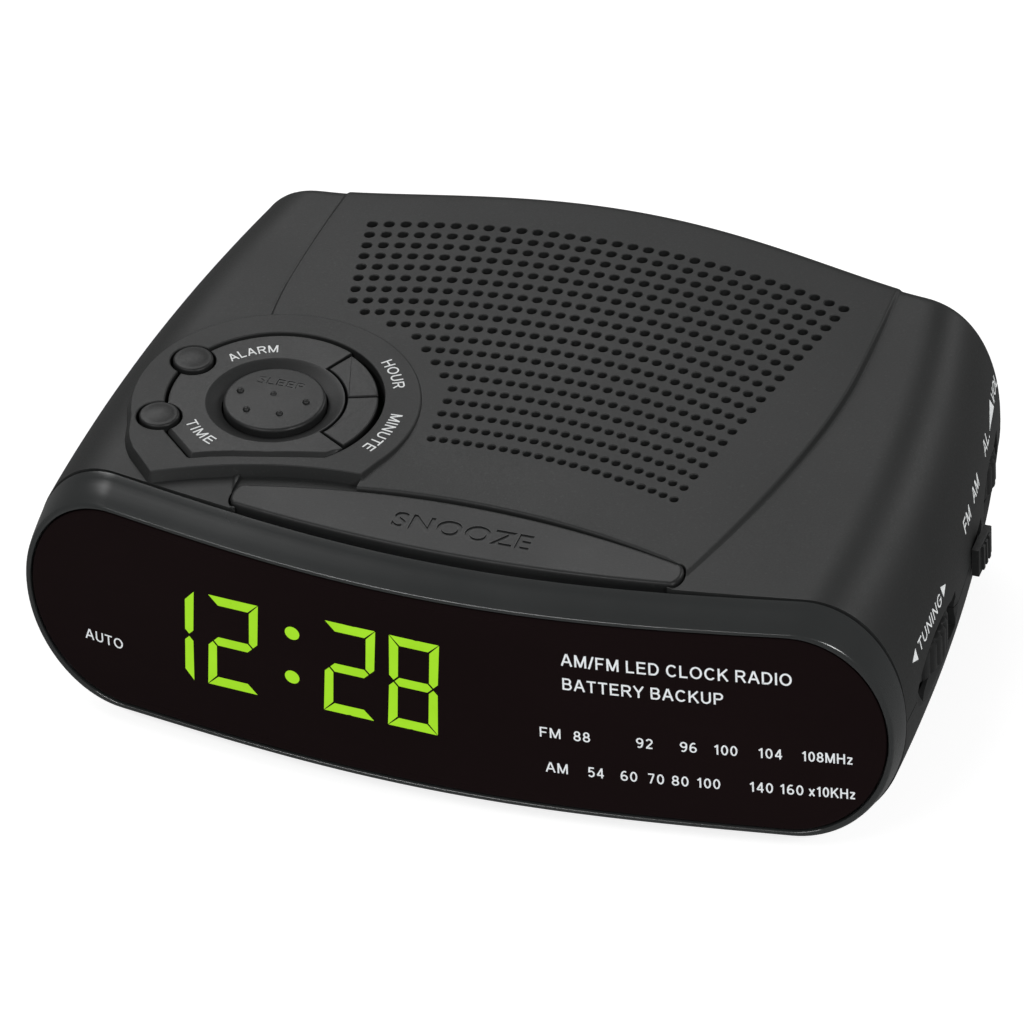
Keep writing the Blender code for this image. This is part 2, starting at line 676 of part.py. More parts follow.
def cord_path():
    """Belt line of the dial cord round the drum and both pulleys, at its own centre line."""
    spare = CORD_CLEARANCE + CORD_RADIUS
    circles = [(PULLEYS["cord_pulley_left"], PULLEY_RADIUS + spare),
               (PULLEYS["cord_pulley_right"], PULLEY_RADIUS + spare),
               (TUNING_AXIS, DRUM_RADIUS + spare)]
    path = []
    for i, (centre, radius) in enumerate(circles):
        before = circles[i - 1]
        after = circles[(i + 1) % 3]
        start = tangent_angle(before[0], before[1], centre, radius)
        stop = tangent_angle(centre, radius, after[0], after[1])
        while stop < start:
            stop += 360.0
        count = max(4, round((stop - start) / 15.0))
        path += circle(centre, radius, count, start, stop, closed=False)
    return path


def tangent_angle(first, first_radius, second, second_radius):
    """Direction from both centres to the outer tangent line, with the loop run anticlockwise."""
    dx = second[0] - first[0]
    dy = second[1] - first[1]
    heading = math.atan2(dy, dx)
    lean = math.acos((first_radius - second_radius) / math.hypot(dx, dy))
    return math.degrees(heading - lean)


def dial_cord():
    path = cord_path()
    loops = []
    for i, (x, depth) in enumerate(path):
        back_point = path[i - 1]
        next_point = path[(i + 1) % len(path)]
        along = Vector((next_point[0] - back_point[0], next_point[1] - back_point[1])).normalized()
        out = Vector((along.y, -along.x))
        loop = []
        for k in range(6):
            angle = math.pi / 3 * k
            reach = CORD_RADIUS * math.cos(angle)
            loop.append(point(x + out.x * reach, depth + out.y * reach,
                              CORD_HEIGHT + CORD_RADIUS * math.sin(angle)))
        loops.append(loop)
    finish(loft(loops, closed_ends=False), "dial_cord", "cord_white", smooth=True)


def dial_parts():
    plate = finish(box(22.0, 85.6, 18.6, 19.8, 12.5, 33.6), "dial_plate", "dial_white")
    for centre in PULLEYS.values():
        add(plate, box(centre[0] - 1.5, centre[0] + 1.5, 19.0, centre[1] + 1.5, 31.0, 33.6))
        add(plate, post(centre, 0.8, 33.0, CORD_HEIGHT + 2.0, 10))
    run = PULLEYS["cord_pulley_left"][1] - PULLEY_RADIUS - CORD_CLEARANCE - CORD_RADIUS
    x = (PULLEYS["cord_pulley_left"][0] + PULLEYS["cord_pulley_right"][0]) / 2
    near = run - CORD_RADIUS - GAP
    needle = box(x - 0.5, x + 0.5, POINTER_FACE, POINTER_FACE + 0.8, 13.5, 36.0)
    pointer = finish(needle, "dial_pointer", "pointer_red", (x, POINTER_FACE, 36.0))
    add(pointer, box(x - 3.0, x + 3.0, POINTER_FACE, near, 34.2, 36.4))
    add(pointer, box(x - 3.0, x + 3.0, near - 1.2, near, 35.5, CORD_HEIGHT + 1.0))


# ---- slide switches -------------------------------------------------------------------------
def slide_switches():
    for name, side, neck, offset in (("band", 1, 2.6, BAND_REST), ("function", -1, 2.2, 0.0)):
        edge = side * half_width(0.64)
        middle = SWITCH_DEPTH + offset
        x0, x1 = sorted((edge + side * 1.5, edge + side * 3.1))
        knob = finish(box(x0, x1, middle - 4.5, middle + 4.5, PARTING - 3.4, PARTING + 3.4),
                      f"{name}_switch_knob", "button_plastic", (edge, middle, PARTING))
        x0, x1 = sorted((side * 84.4, edge + side * 1.8))
        add(knob, box(x0, x1, middle - neck, middle + neck, PARTING - 1.5, PARTING + 1.5))
        for k in (-2, 0, 2):
            x0, x1 = sorted((edge + side * 2.9, edge + side * 3.6))
            add(knob, box(x0, x1, middle + k - 0.5, middle + k + 0.5, PARTING - 3.0, PARTING + 3.0))
        x0, x1 = sorted((side * 79.6, side * 84.1))
        finish(box(x0, x1, SWITCH_DEPTH - 9, SWITCH_DEPTH + 9, 26.0, 38.0), f"{name}_slide_switch", "steel")
        x0, x1 = sorted((side * 77.7, side * 79.3))
        finish(box(x0, x1, SWITCH_DEPTH - 11, SWITCH_DEPTH + 10.0, BOARD_HIGH + GAP, 40.0),
               f"{name}_switch_board", "board_green")


# ---- boards, display, power -----------------------------------------------------------------
def main_board():
    outline = [(26.0, 27.0), (42.0, 27.0), (42.0, 33.5), (54.0, 33.5), (54.0, 27.0), (84.0, 27.0),
               (83.0, 60.0), (80.5, 75.0), (77.5, 94.0), (73.0, 111.0), (26.0, 111.0)]
    board = finish(prism(bmesh.new(), outline, BOARD_LOW, BOARD_HIGH), "main_board", "board_green")
    for x, depth in ((32.0, 40.0), (58.0, 88.0), (40.0, 104.0)):
        add(board, box(x - 4, x + 4, depth - 3, depth + 3, BOARD_HIGH - 0.5, BOARD_HIGH + 3.0))
    for x, depth in ((44.0, 52.0), (50.0, 66.0), (36.0, 78.0)):
        add(board, post((x, depth), 3.0, BOARD_HIGH - 0.5, BOARD_HIGH + 9.0, 12))


def display_module():
    finish(box(-60.5, 2.5, 10.0, 16.6, 15.0, 47.0), "led_display", "display_dark")
    finish(box(-66.0, 8.0, 16.9, 18.5, 9.0, 48.6), "display_board", "board_green")


def transformer():
    x, depth = -52.3, 101.0
    core = finish(box(x - 17, x + 17, depth - 7, depth + 7, 8.0, 35.0), "transformer_core", "lamination")
    for side in (-1, 1):
        x0, x1 = sorted((x + side * 5.0, x + side * 12.0))
        cut(core, box(x0, x1, depth - 9, depth + 9, 12.5, 30.5))
    coil = finish(box(x - 11.7, x + 11.7, depth - 13, depth + 13, 12.8, 30.2), "transformer_coil", "copper")
    cut(coil, box(x - 5.3, x + 5.3, depth - 7.3, depth + 7.3, 5.0, 40.0))


def antenna():
    depth, z = 119.0, 34.0
    rod = lathe((0.0, DEPTH / 2), [(0, -30), (4.4, -30), (4.4, 30), (0, 30)], 16)
    finish(turn(rod, (-6.0, depth, z), (1, 0, 0)), "ferrite_rod", "ferrite", smooth=True)
    coil = lathe((0.0, DEPTH / 2), [(4.8, -9), (6.2, -9), (6.2, 9), (4.8, 9)], 20)
    finish(turn(coil, (2.0, depth, z), (1, 0, 0)), "antenna_coil", "copper", smooth=True)
    for name, x in (("rod_clip_left", -30.0), ("rod_clip_right", 18.0)):
        block = box(x - 2, x + 2, depth - 6.0, depth + 6.0, BAY_TOP + 2.1, z + 5.6)
        clip = finish(block, name, "nylon_white")
        hole = lathe((0.0, DEPTH / 2), [(0, -9), (4.75, -9), (4.75, 9), (0, 9)], 16)
        cut(clip, turn(hole, (x, depth, z), (1, 0, 0)))


def speaker():
    frame = [(28.3, 59.3), (28.3, 61.0), (25.6, 61.0), (25.6, 58.0), (14.4, 46.4), (9.2, 46.4), (9.2, 45.0),
             (15.0, 45.0), (26.6, 57.0), (26.6, 59.3)]
    finish(lathe(SPEAKER, frame, 28), "speaker_frame", "steel", (*SPEAKER, 46.0), True)
    magnet = [(0, 36.6), (16.0, 36.6), (16.0, 44.7), (8.8, 44.7), (8.8, 42.6), (0, 42.6)]
    finish(lathe(SPEAKER, magnet, 28), "speaker_magnet", "ferrite", (*SPEAKER, 36.6), True)
    cone = [(0, 51.9), (4.0, 51.5), (7.2, 50.0), (7.2, 46.2), (8.0, 46.2), (8.0, 50.2), (20.4, 57.4),
            (22.4, 59.2), (24.6, 58.4), (24.9, 59.2), (22.4, 60.2), (19.8, 58.2), (8.0, 51.2),
            (4.4, 52.6), (0, 53.0)]
    finish(lathe(SPEAKER, cone, 28), "speaker_cone", "cone_paper", (*SPEAKER, 55.0), True)


def battery_parts():
    left, right, near, far = BAY
    hinge = (0.0, far - 1.3, UNDERSIDE + 1.0)
    door = finish(box(left + 0.5, right - 0.5, near + 0.5, far - 0.7, UNDERSIDE + 0.1, UNDERSIDE + 1.9),
                  "battery_door", "case_plastic", hinge)
    middle = (left + right) / 2
    add(door, box(middle - 5, middle + 5, near + 1.0, near + 2.6, UNDERSIDE + 1.5, UNDERSIDE + 6.0))
    plate = box(left + 0.4, left + 1.9, near + 3.5, far - 3.5, 6.0, 21.0)
    clip = finish(plate, "battery_clip", "switch_black")
    for depth in (near + 8.6, far - 8.6):
        stud = lathe((0.0, DEPTH / 2), [(0, -1.6), (3.4, -1.6), (3.4, 1.6), (0, 1.6)], 14)
        add(clip, turn(stud, (left + 3.2, depth, 13.5), (1, 0, 0)))


def build():
    clear_scene()
    bottom_case()
    top_case()
    front_bezel()
    display_lens()
    feet()
    case_screws()
    cord_gland()
    control_disc()
    sleep_button()
    round_buttons()
    arc_buttons()
    snooze_button()
    key_board()
    tuning_wheel()
    volume_wheel()
    tuning_capacitor()
    volume_pot()
    cord_pulleys()
    dial_cord()
    dial_parts()
    slide_switches()
    main_board()
    display_module()
    transformer()
    antenna()
    speaker()
    battery_parts()


build()
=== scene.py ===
"""Looks of the clock radio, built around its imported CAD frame.

Lengths are in millimetres and are turned into metres when a mesh is made. Plan positions are given
as (x, depth), where depth runs back from the middle of the front rim.
"""
import json
import math

import bmesh
import bpy
from mathutils import Matrix, Vector


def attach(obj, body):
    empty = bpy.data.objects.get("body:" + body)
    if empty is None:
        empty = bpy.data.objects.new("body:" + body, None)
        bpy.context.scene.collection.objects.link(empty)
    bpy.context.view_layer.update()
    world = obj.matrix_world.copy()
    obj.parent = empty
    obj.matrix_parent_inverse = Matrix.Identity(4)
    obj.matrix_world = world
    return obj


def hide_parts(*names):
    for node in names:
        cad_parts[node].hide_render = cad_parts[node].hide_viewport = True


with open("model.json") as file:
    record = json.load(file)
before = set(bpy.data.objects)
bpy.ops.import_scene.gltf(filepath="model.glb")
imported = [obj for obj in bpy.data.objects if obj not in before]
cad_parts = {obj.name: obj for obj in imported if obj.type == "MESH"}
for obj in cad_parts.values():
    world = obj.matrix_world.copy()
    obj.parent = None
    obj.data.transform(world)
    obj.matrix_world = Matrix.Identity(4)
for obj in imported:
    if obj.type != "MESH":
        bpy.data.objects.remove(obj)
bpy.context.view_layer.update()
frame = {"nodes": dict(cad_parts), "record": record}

MM = 0.001

# ---- sizes shared with the CAD ----------------------------------------------------------------
DEPTH = 135.5
GAP = 0.3
WALL = 2.0
PARTING = 32.0
UNDERSIDE = 3.0
RIM_HALF_WIDTH = 95.0
RIM_HALF_HEIGHT = 27.2
RIM_CENTRE = 32.6
RIM_END = 21.0
RIM_WAIST = 1.4
BULGE = 16.4
BULGE_FLAT = 4.6
SEAM_BACK = 8.0
SEAM_RISE = 2.9
BODY_HALF_WIDTH = 95.3
BODY_TAPER = 11.0
TAPER_POWER = 2.1
BACK_SWEEP = 24.5
BACK_FLAT = 14.0
BACK_HALF_WIDTH = 80.0
SHOULDER = (62.3, 61.3)
TOP_END = (20.5, 16.2)
LOW_END = (21.0, 24.0)
TOP_POWER = (2.1, 2.3)
LOW_POWER = 2.1
BACK_ROUND = 4.0
DOME_TOP = 64.5
DOME_DEPTH = 84.0
DOME_CROWN = 1.35
CREASE = 62.9
CLUSTER = (-50.5, 46.5)
PLATEAU_CENTRE = (-50.0, 45.8)
PLATEAU_RADIUS = 30.4
PLATEAU_BASE = 60.0
LEDGE = 61.9
PLATEAU_TOP = 64.7
DISC_RADIUS = 22.4
DISC_TOP = 64.4
DISC_GROOVE = 0.6
SLEEP_RADIUS = 10.8
DISH_RADIUS = 14.5
ROUND_BUTTON_RADIUS = 4.25
ROUND_BUTTONS = {"alarm_button": (-71.5, 54.4), "time_button": (-71.7, 34.4)}
KEY_INNER = 15.2
KEY_OUTER = 21.6
KEY_TOP = 64.4
KEY_ANGLES = {"hour_button": (20.0, 62.2), "minute_button": (-29.8, 20.0)}
KEY_OPENING = (-31.0, 63.4)
BAR_HALF_LENGTH = 49.0
BAR_TOP = 63.2
TUNING_AXIS = (75.2, 46.0)
TUNING_RADIUS = 20.0
VOLUME_AXIS = (76.2, 103.5)
VOLUME_RADIUS = 12.2
WHEEL_LOW = 28.0
WHEEL_HIGH = 36.0
SWITCH_DEPTH = 81.0
BAY = (-33.0, 21.0, 96.0, 125.7)
BAY_TOP = 23.2
SCREWS = [(-72.0, 24.0), (48.0, 28.0), (-52.0, 120.5), (52.0, 120.5)]
FEET = [(-64.0, 34.0), (64.0, 34.0), (-50.0, 108.0), (50.0, 108.0)]


# ---- materials --------------------------------------------------------------------------------
class Nodes:
    """Small helper that adds nodes to one material and links them."""

    def __init__(self, name):
        self.material = bpy.data.materials.new(name)
        self.material.use_nodes = True
        self.tree = self.material.node_tree
        self.shader = self.tree.nodes["Principled BSDF"]
        self.coords = self.tree.nodes.new("ShaderNodeTexCoord").outputs["Object"]

    def add(self, kind, **values):
        node = self.tree.nodes.new(kind)
        for key, value in values.items():
            setattr(node, key, value)
        return node

    def link(self, source, target):
        self.tree.links.new(source, target)

    def noise(self, scale, detail=2.0, roughness=0.5, stretch=None):
        node = self.add("ShaderNodeTexNoise")
        node.inputs["Scale"].default_value = scale
        node.inputs["Detail"].default_value = detail
        node.inputs["Roughness"].default_value = roughness
        place = self.coords
        if stretch:
            mapping = self.add("ShaderNodeMapping")
            mapping.inputs["Scale"].default_value = stretch
            self.link(self.coords, mapping.inputs["Vector"])
            place = mapping.outputs["Vector"]
        self.link(place, node.inputs["Vector"])
        return node.outputs["Fac"]

    def bands(self, direction, scale, distortion):
        node = self.add("ShaderNodeTexWave", wave_type="BANDS", bands_direction=direction)
        node.inputs["Scale"].default_value = scale
        node.inputs["Distortion"].default_value = distortion
        self.link(self.coords, node.inputs["Vector"])
        return node.outputs["Fac"]

    def spread(self, source, low, high, start=0.3, stop=0.7):
        """Turn a 0 to 1 value into a range of its own."""
        node = self.add("ShaderNodeMapRange")
        node.inputs["From Min"].default_value = start
        node.inputs["From Max"].default_value = stop
        node.inputs["To Min"].default_value = low
        node.inputs["To Max"].default_value = high
        self.link(source, node.inputs["Value"])
        return node.outputs["Result"]

    def colours(self, source, dark, light, start=0.3, stop=0.7):
        node = self.add("ShaderNodeValToRGB")
        node.color_ramp.elements[0].position = start
        node.color_ramp.elements[0].color = (*dark, 1.0)
        node.color_ramp.elements[1].position = stop
        node.color_ramp.elements[1].color = (*light, 1.0)
        self.link(source, node.inputs["Fac"])
        return node.outputs["Color"]

    def mix(self, factor, first, second):
        node = self.add("ShaderNodeMix", data_type="RGBA")
        self.link(factor, node.inputs["Factor"])
        self.link(first, node.inputs["A"])
        if isinstance(second, tuple):
            node.inputs["B"].default_value = (*second, 1.0)
        else:
            self.link(second, node.inputs["B"])
        return node.outputs["Result"]

    def math(self, operation, first, second):
        node = self.add("ShaderNodeMath", operation=operation)
        for i, value in enumerate((first, second)):
            if isinstance(value, (int, float)):
                node.inputs[i].default_value = value
            else:
                self.link(value, node.inputs[i])
        return node.outputs["Value"]

    def bump(self, heights):
        """Chain of bumps from (height, strength, distance in metres)."""
        before = None
        for height, strength, distance in heights:
            node = self.add("ShaderNodeBump")
            node.inputs["Strength"].default_value = strength
            node.inputs["Distance"].default_value = distance
            self.link(height, node.inputs["Height"])
            if before:
                self.link(before, node.inputs["Normal"])
            before = node.outputs["Normal"]
        self.link(before, self.shader.inputs["Normal"])

    def edges(self, radius):
        """1 along convex and concave edges and 0 on flat ground."""
        round_normal = self.add("ShaderNodeBevel", samples=4)
        round_normal.inputs["Radius"].default_value = radius
        flat = self.add("ShaderNodeNewGeometry").outputs["Normal"]
        dot = self.add("ShaderNodeVectorMath", operation="DOT_PRODUCT")
        self.link(round_normal.outputs["Normal"], dot.inputs[0])
        self.link(flat, dot.inputs[1])
        return self.spread(dot.outputs["Value"], 1.0, 0.0, 0.75, 0.99)

    def set(self, **values):
        for key, value in values.items():
            self.shader.inputs[key.replace("_", " ")].default_value = value

    def finish(self, colour, roughness, heights, **values):
        self.link(colour, self.shader.inputs["Base Color"])
        self.link(roughness, self.shader.inputs["Roughness"])
        self.bump(heights)
        self.set(**values)
        return self.material


def shift(colour, factor):
    return tuple(channel * factor for channel in colour)


def plastic(name, colour, rough, grain=2600.0, depth=0.00004, strength=0.35, wear_and_highlight=0.0, specular=0.5):
    """Moulded plastic: fine spark-eroded grain, slow colour drift and shinier edges from handling; along the
    edges the colour is also lightened, partly as wear and partly as a painted highlight.
    """
    n = Nodes(name)
    fine = n.noise(grain, 3.0, 0.6)
    slow = n.noise(28.0, 3.0)
    speck = n.noise(grain * 0.55, 1.0)
    tone = n.colours(slow, shift(colour, 0.9), shift(colour, 1.1))
    flecks = n.spread(speck, 0.0, 0.35, 0.62, 0.74)
    tone = n.mix(flecks, tone, shift(colour, 1.9))
    roughness = n.math("ADD", n.spread(fine, rough - 0.06, rough + 0.06), n.spread(slow, -0.04, 0.04))
    if wear_and_highlight:
        edge = n.math("MULTIPLY", n.edges(0.0005), n.spread(n.noise(90.0, 4.0), 0.2, 1.0))
        edge = n.math("MULTIPLY", edge, wear_and_highlight)
        # Lighter colour along convex and concave edges: partly wear, partly a painted highlight.
        tone = n.mix(edge, tone, shift(colour, 2.0))
        roughness = n.math("SUBTRACT", roughness, n.math("MULTIPLY", edge, 0.2))
    return n.finish(tone, roughness, [(fine, strength, depth), (slow, 0.15, 0.0002)],
                    Specular_IOR_Level=specular)


def gloss(name, colour, rough, specular=0.5):
    """Polished moulding with faint flow marks and smears."""
    n = Nodes(name)
    smear = n.noise(14.0, 4.0, 0.6, (1.0, 0.4, 2.2))
    dust = n.noise(1900.0, 1.0)
    tone = n.colours(smear, shift(colour, 0.92), shift(colour, 1.08))
    tone = n.mix(n.spread(dust, 0.0, 0.15, 0.7, 0.8), tone, shift(colour, 2.2))
    return n.finish(tone, n.spread(smear, rough * 0.75, rough * 1.35),
                    [(smear, 0.06, 0.0002), (dust, 0.04, 0.00001)],
                    Specular_IOR_Level=specular, Coat_Weight=0.0, Coat_Roughness=0.04)


def ink(name, colour):
    """Screen-printed ink, a little darker in places."""
    n = Nodes(name)
    grain = n.noise(3200.0, 2.0)
    tone = n.colours(grain, shift(colour, 0.86), colour, 0.25, 0.55)
    return n.finish(tone, n.spread(grain, 0.45, 0.65), [(grain, 0.2, 0.00002)])


def lit(name, colour, strength):
    """Lit display segment: an even glow that is a little weaker towards the moulding's rough spots."""
    n = Nodes(name)
    cloud = n.noise(160.0, 2.0)
    glow = n.colours(cloud, shift(colour, 0.95), colour)
    n.link(glow, n.shader.inputs["Emission Color"])
    n.link(n.colours(cloud, shift(colour, 0.25), shift(colour, 0.3)), n.shader.inputs["Base Color"])
    n.link(n.spread(cloud, 0.25, 0.35), n.shader.inputs["Roughness"])
    n.set(Emission_Strength=strength, Specular_IOR_Level=0.2)
    return n.material


def metal(name, colour, rough, stretch=(1.0, 1.0, 1.0), scale=700.0):
    """Plated or rolled metal with brushing along one direction and duller patches."""
    n = Nodes(name)
    brush = n.noise(scale, 3.0, 0.7, stretch)
    cloud = n.noise(60.0, 3.0)
    roughness = n.math("ADD", n.spread(brush, rough - 0.06, rough + 0.08), n.spread(cloud, -0.05, 0.06))
    return n.finish(n.colours(brush, shift(colour, 0.82), colour), roughness, [(brush, 0.15, 0.00005)],
                    Metallic=1.0)


def laminate(name, colour):
    """Circuit board: solder mask with the faint weave of the glass cloth and copper tracks under it."""
    n = Nodes(name)
    cloth = n.math("MULTIPLY", n.bands("X", 260.0, 0.6), n.bands("Y", 260.0, 0.6))
    tracks = n.spread(n.noise(210.0, 0.0, 0.5, (1.0, 0.25, 1.0)), 0.0, 1.0, 0.52, 0.55)
    tone = n.mix(tracks, n.colours(cloth, shift(colour, 0.8), colour), shift(colour, 1.7))
    return n.finish(tone, n.spread(cloth, 0.3, 0.45), [(cloth, 0.2, 0.00003), (tracks, 0.3, 0.00004)])


def fibre(name, colour, scale):
    """Pressed paper, braid or wound wire: short fibres across the surface."""
    n = Nodes(name)
    hair = n.noise(scale, 4.0, 0.7, (1.0, 1.0, 3.0))
    tone = n.colours(hair, shift(colour, 0.7), shift(colour, 1.25))
    return n.finish(tone, n.spread(hair, 0.75, 0.95), [(hair, 0.5, 0.0001)])


def windings(name, colour):
    """Enamelled wire wound in close turns."""
    n = Nodes(name)
    turns = n.bands("X", 500.0, 0.3)
    tone = n.colours(turns, shift(colour, 0.35), colour, 0.1, 0.8)
    return n.finish(tone, n.spread(turns, 0.25, 0.4), [(turns, 0.8, 0.0001)], Metallic=0.8)


CHARCOAL = (0.0195, 0.0202, 0.0200)
BLACK = (0.0142, 0.0147, 0.0147)
MATERIALS = {
    "case_plastic": plastic("case_plastic", CHARCOAL, 0.5, wear_and_highlight=0.7, specular=0.34),
    "button_plastic": plastic("button_plastic", BLACK, 0.44, 2200.0, wear_and_highlight=0.8, specular=0.38),
    "bezel_gloss": gloss("bezel_gloss", (0.0200, 0.0220, 0.0220), 0.22, 0.9),
    "lens_smoke": gloss("lens_smoke", (0.0075, 0.0042, 0.0044), 0.09, 0.05),
    "board_green": laminate("board_green", (0.020, 0.120, 0.050)),
    "switch_black": plastic("switch_black", (0.020, 0.020, 0.022), 0.4),
    "display_dark": plastic("display_dark", (0.030, 0.032, 0.034), 0.35),
    "dial_white": plastic("dial_white", (0.60, 0.60, 0.58), 0.5),
    "pointer_red": plastic("pointer_red", (0.55, 0.06, 0.03), 0.4),
    "cord_white": fibre("cord_white", (0.60, 0.58, 0.52), 2400.0),
    "nylon_white": plastic("nylon_white", (0.70, 0.69, 0.66), 0.45),
    "steel": metal("steel", (0.56, 0.57, 0.58), 0.32, (1.0, 8.0, 1.0)),
    "lamination": metal("lamination", (0.18, 0.18, 0.19), 0.5, (1.0, 12.0, 1.0), 300.0),
    "copper": windings("copper", (0.72, 0.33, 0.14)),
    "ferrite": plastic("ferrite", (0.050, 0.050, 0.052), 0.6, 1500.0, 0.0001, 0.6),
    "cone_paper": fibre("cone_paper", (0.045, 0.043, 0.040), 1500.0),
    "rubber": plastic("rubber", (0.022, 0.022, 0.022), 0.8, 1600.0, 0.00008, 0.5),
}
PRINT = ink("print_white", (0.80, 0.83, 0.85))
PRINT_SIDE = ink("print_side", (0.86, 0.88, 0.88))
SEGMENT = lit("lit_segment", (0.30, 0.62, 0.014), 0.95)


# ---- mesh helpers -----------------------------------------------------------------------------
def point(x, depth, z):
    return Vector((x, depth - DEPTH / 2, z))


def add_object(name, data):
    made = bpy.data.objects.new(name, data)
    bpy.context.scene.collection.objects.link(made)
    return made


def solid(bm, name):
    """Turn a millimetre bmesh into an object in metres."""
    bmesh.ops.remove_doubles(bm, verts=bm.verts, dist=1e-4)
    bmesh.ops.recalc_face_normals(bm, faces=bm.faces)
    if bm.calc_volume(signed=True) < 0:
        bmesh.ops.reverse_faces(bm, faces=bm.faces)
    for vert in bm.verts:
        vert.co *= MM
    mesh = bpy.data.meshes.new(name)
    bm.to_mesh(mesh)
    bm.free()
    made = add_object(name, mesh)
    shade(made)
    return made


def shade(made, angle=35.0):
    made.data.shade_smooth()
    made.data.set_sharp_from_angle(angle=math.radians(angle))


def carve(target, tool, operation="DIFFERENCE"):
    """Apply a Boolean between two objects and remove the tool."""
    if not isinstance(tool, bpy.types.Object):
        tool = solid(tool, "tool")
    modifier = target.modifiers.new("carve", "BOOLEAN")
    modifier.operation = operation
    modifier.object = tool
    bpy.context.view_layer.update()
    depsgraph = bpy.context.evaluated_depsgraph_get()
    carved = bpy.data.meshes.new_from_object(target.evaluated_get(depsgraph))
    target.modifiers.clear()
    target.data = carved
    bpy.data.objects.remove(tool, do_unlink=True)


def crisp(made, least):
    """Shade large flat faces flat, so that the rounds beside them don't bleed across."""
    mesh = made.data
    wanted = set()
    for face in mesh.polygons:
        if len(face.vertices) > 4 and face.area > least * MM * MM:
            wanted.update(face.edge_keys)
    for edge in mesh.edges:
        if edge.key in wanted:
            edge.use_edge_sharp = True


def place(piece, body, slot, nodes=(), angle=35.0, weighted=True):
    """Give a finished piece its material, body and the CAD nodes that it stands for."""
    piece.data.materials.clear()
    piece.data.materials.append(MATERIALS[slot])
    piece.data.polygons.foreach_set("material_index", [0] * len(piece.data.polygons))
    shade(piece, angle)
    crisp(piece, 8.0)
    if weighted:
        modifier = piece.modifiers.new("weighted", "WEIGHTED_NORMAL")
        modifier.keep_sharp = True
    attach(piece, body)
    if nodes:
        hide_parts(*nodes)
    return piece


def grow(outline, margin):
    """Offset a closed plan outline outwards by margin."""
    area = sum(a[0] * b[1] - b[0] * a[1] for a, b in zip(outline, outline[1:] + outline[:1]))
    sign = 1.0 if area > 0 else -1.0
    grown = []
    for i, (x, d) in enumerate(outline):
        before = outline[i - 1]
        after = outline[(i + 1) % len(outline)]
        a = Vector((x - before[0], d - before[1])).normalized()
        b = Vector((after[0] - x, after[1] - d)).normalized()
        out_a = Vector((a.y, -a.x)) * sign
        out_b = Vector((b.y, -b.x)) * sign
        both = out_a + out_b
        reach = min(2.0 / max(both.length_squared, 1e-6), 1.2)
        grown.append((x + both.x * reach * margin, d + both.y * reach * margin))
    return grown


def refine(outline, step, corner=0.0, sides=5):
    """Round a plan outline's sharp corners by radius corner and split its long sides."""
    rounded = []
    count = len(outline)
    for i in range(count):
        here = Vector(outline[i])
        before = Vector(outline[i - 1])
        after = Vector(outline[(i + 1) % count])
        a = (before - here)
        b = (after - here)
        turn_angle = a.angle(-b) if a.length and b.length else 0.0
        if corner and turn_angle > math.radians(14):
            cut_back = min(corner * math.tan(turn_angle / 2), 0.45 * a.length, 0.45 * b.length)
            start = here + a.normalized() * cut_back
            stop = here + b.normalized() * cut_back
            for k in range(sides + 1):
                t = k / sides
                rounded.append((start * (1 - t) ** 2 + here * 2 * t * (1 - t) + stop * t ** 2))
        else:
            rounded.append(here)
    fine = []
    for i, here in enumerate(rounded):
        after = rounded[(i + 1) % len(rounded)]
        pieces = max(1, math.ceil((after - here).length / step))
        for k in range(pieces):
            fine.append(tuple(here.lerp(after, k / pieces)))
    return fine


def blend(first, second, weights):
    """Outline between two of equal length; weight 0 is the first and 1 the second."""
    return [(a[0] + (b[0] - a[0]) * t, a[1] + (b[1] - a[1]) * t) for a, b, t in zip(first, second, weights)]


def skin(bm, rings):
    """Quads between each ring of vertices and the next."""
    for ring, following in zip(rings, rings[1:]):
        for corners in zip(ring, ring[1:] + ring[:1], following[1:] + following[:1], following):
            bm.faces.new(corners)


def stack(levels):
    """Solid through plan outlines of equal length; each level is (outline, height or height function)."""
    bm = bmesh.new()
    rings = []
    for outline, height in levels:
        rings.append([bm.verts.new(point(x, d, height(x, d) if callable(height) else height))
                      for x, d in outline])
    skin(bm, rings)
    bm.faces.new(rings[0])
    bm.faces.new(rings[-1])
    return bm


def prism(outline, low, high):
    return stack([(outline, low), (outline, high)])


def box(x0, x1, d0, d1, z0, z1):
    return prism([(x0, d0), (x1, d0), (x1, d1), (x0, d1)], z0, z1)


def arc(centre, radius, start, stop, count):
    points = []
    for i in range(count):
        angle = math.radians(start + (stop - start) * i / (count - 1))
        points.append((centre[0] + radius * math.cos(angle), centre[1] + radius * math.sin(angle)))
    return points


def circle(centre, radius, count):
    return arc(centre, radius, 0.0, 360.0, count + 1)[:-1]


def post(centre, radius, z0, z1, count=32):
    return prism(circle(centre, radius, count), z0, z1)


def lathe(centre, profile, count=64, closed=True):
    """Solid of revolution about a vertical axis; the profile is (radius, z)."""
    bm = bmesh.new()
    rings = []
    for radius, z in profile:
        if radius < 1e-6:
            rings.append([bm.verts.new(point(centre[0], centre[1], z))] * count)
        else:
            rings.append([bm.verts.new(point(x, d, z)) for x, d in circle(centre, radius, count)])
    pairs = list(zip(rings, rings[1:]))
    if closed:
        pairs.append((rings[-1], rings[0]))
    for ring, following in pairs:
        if ring[0] is ring[1] and following[0] is following[1]:
            continue
        for i in range(count):
            j = (i + 1) % count
            corners = []
            for vert in (ring[i], ring[j], following[j], following[i]):
                if vert not in corners:
                    corners.append(vert)
            bm.faces.new(corners)
    return bm


def turn(bm, centre, axis):
    spin = Vector((0, 0, 1)).rotation_difference(Vector(axis)).to_matrix().to_4x4()
    bmesh.ops.transform(bm, matrix=Matrix.Translation(point(*centre)) @ spin, verts=bm.verts)
    return bm


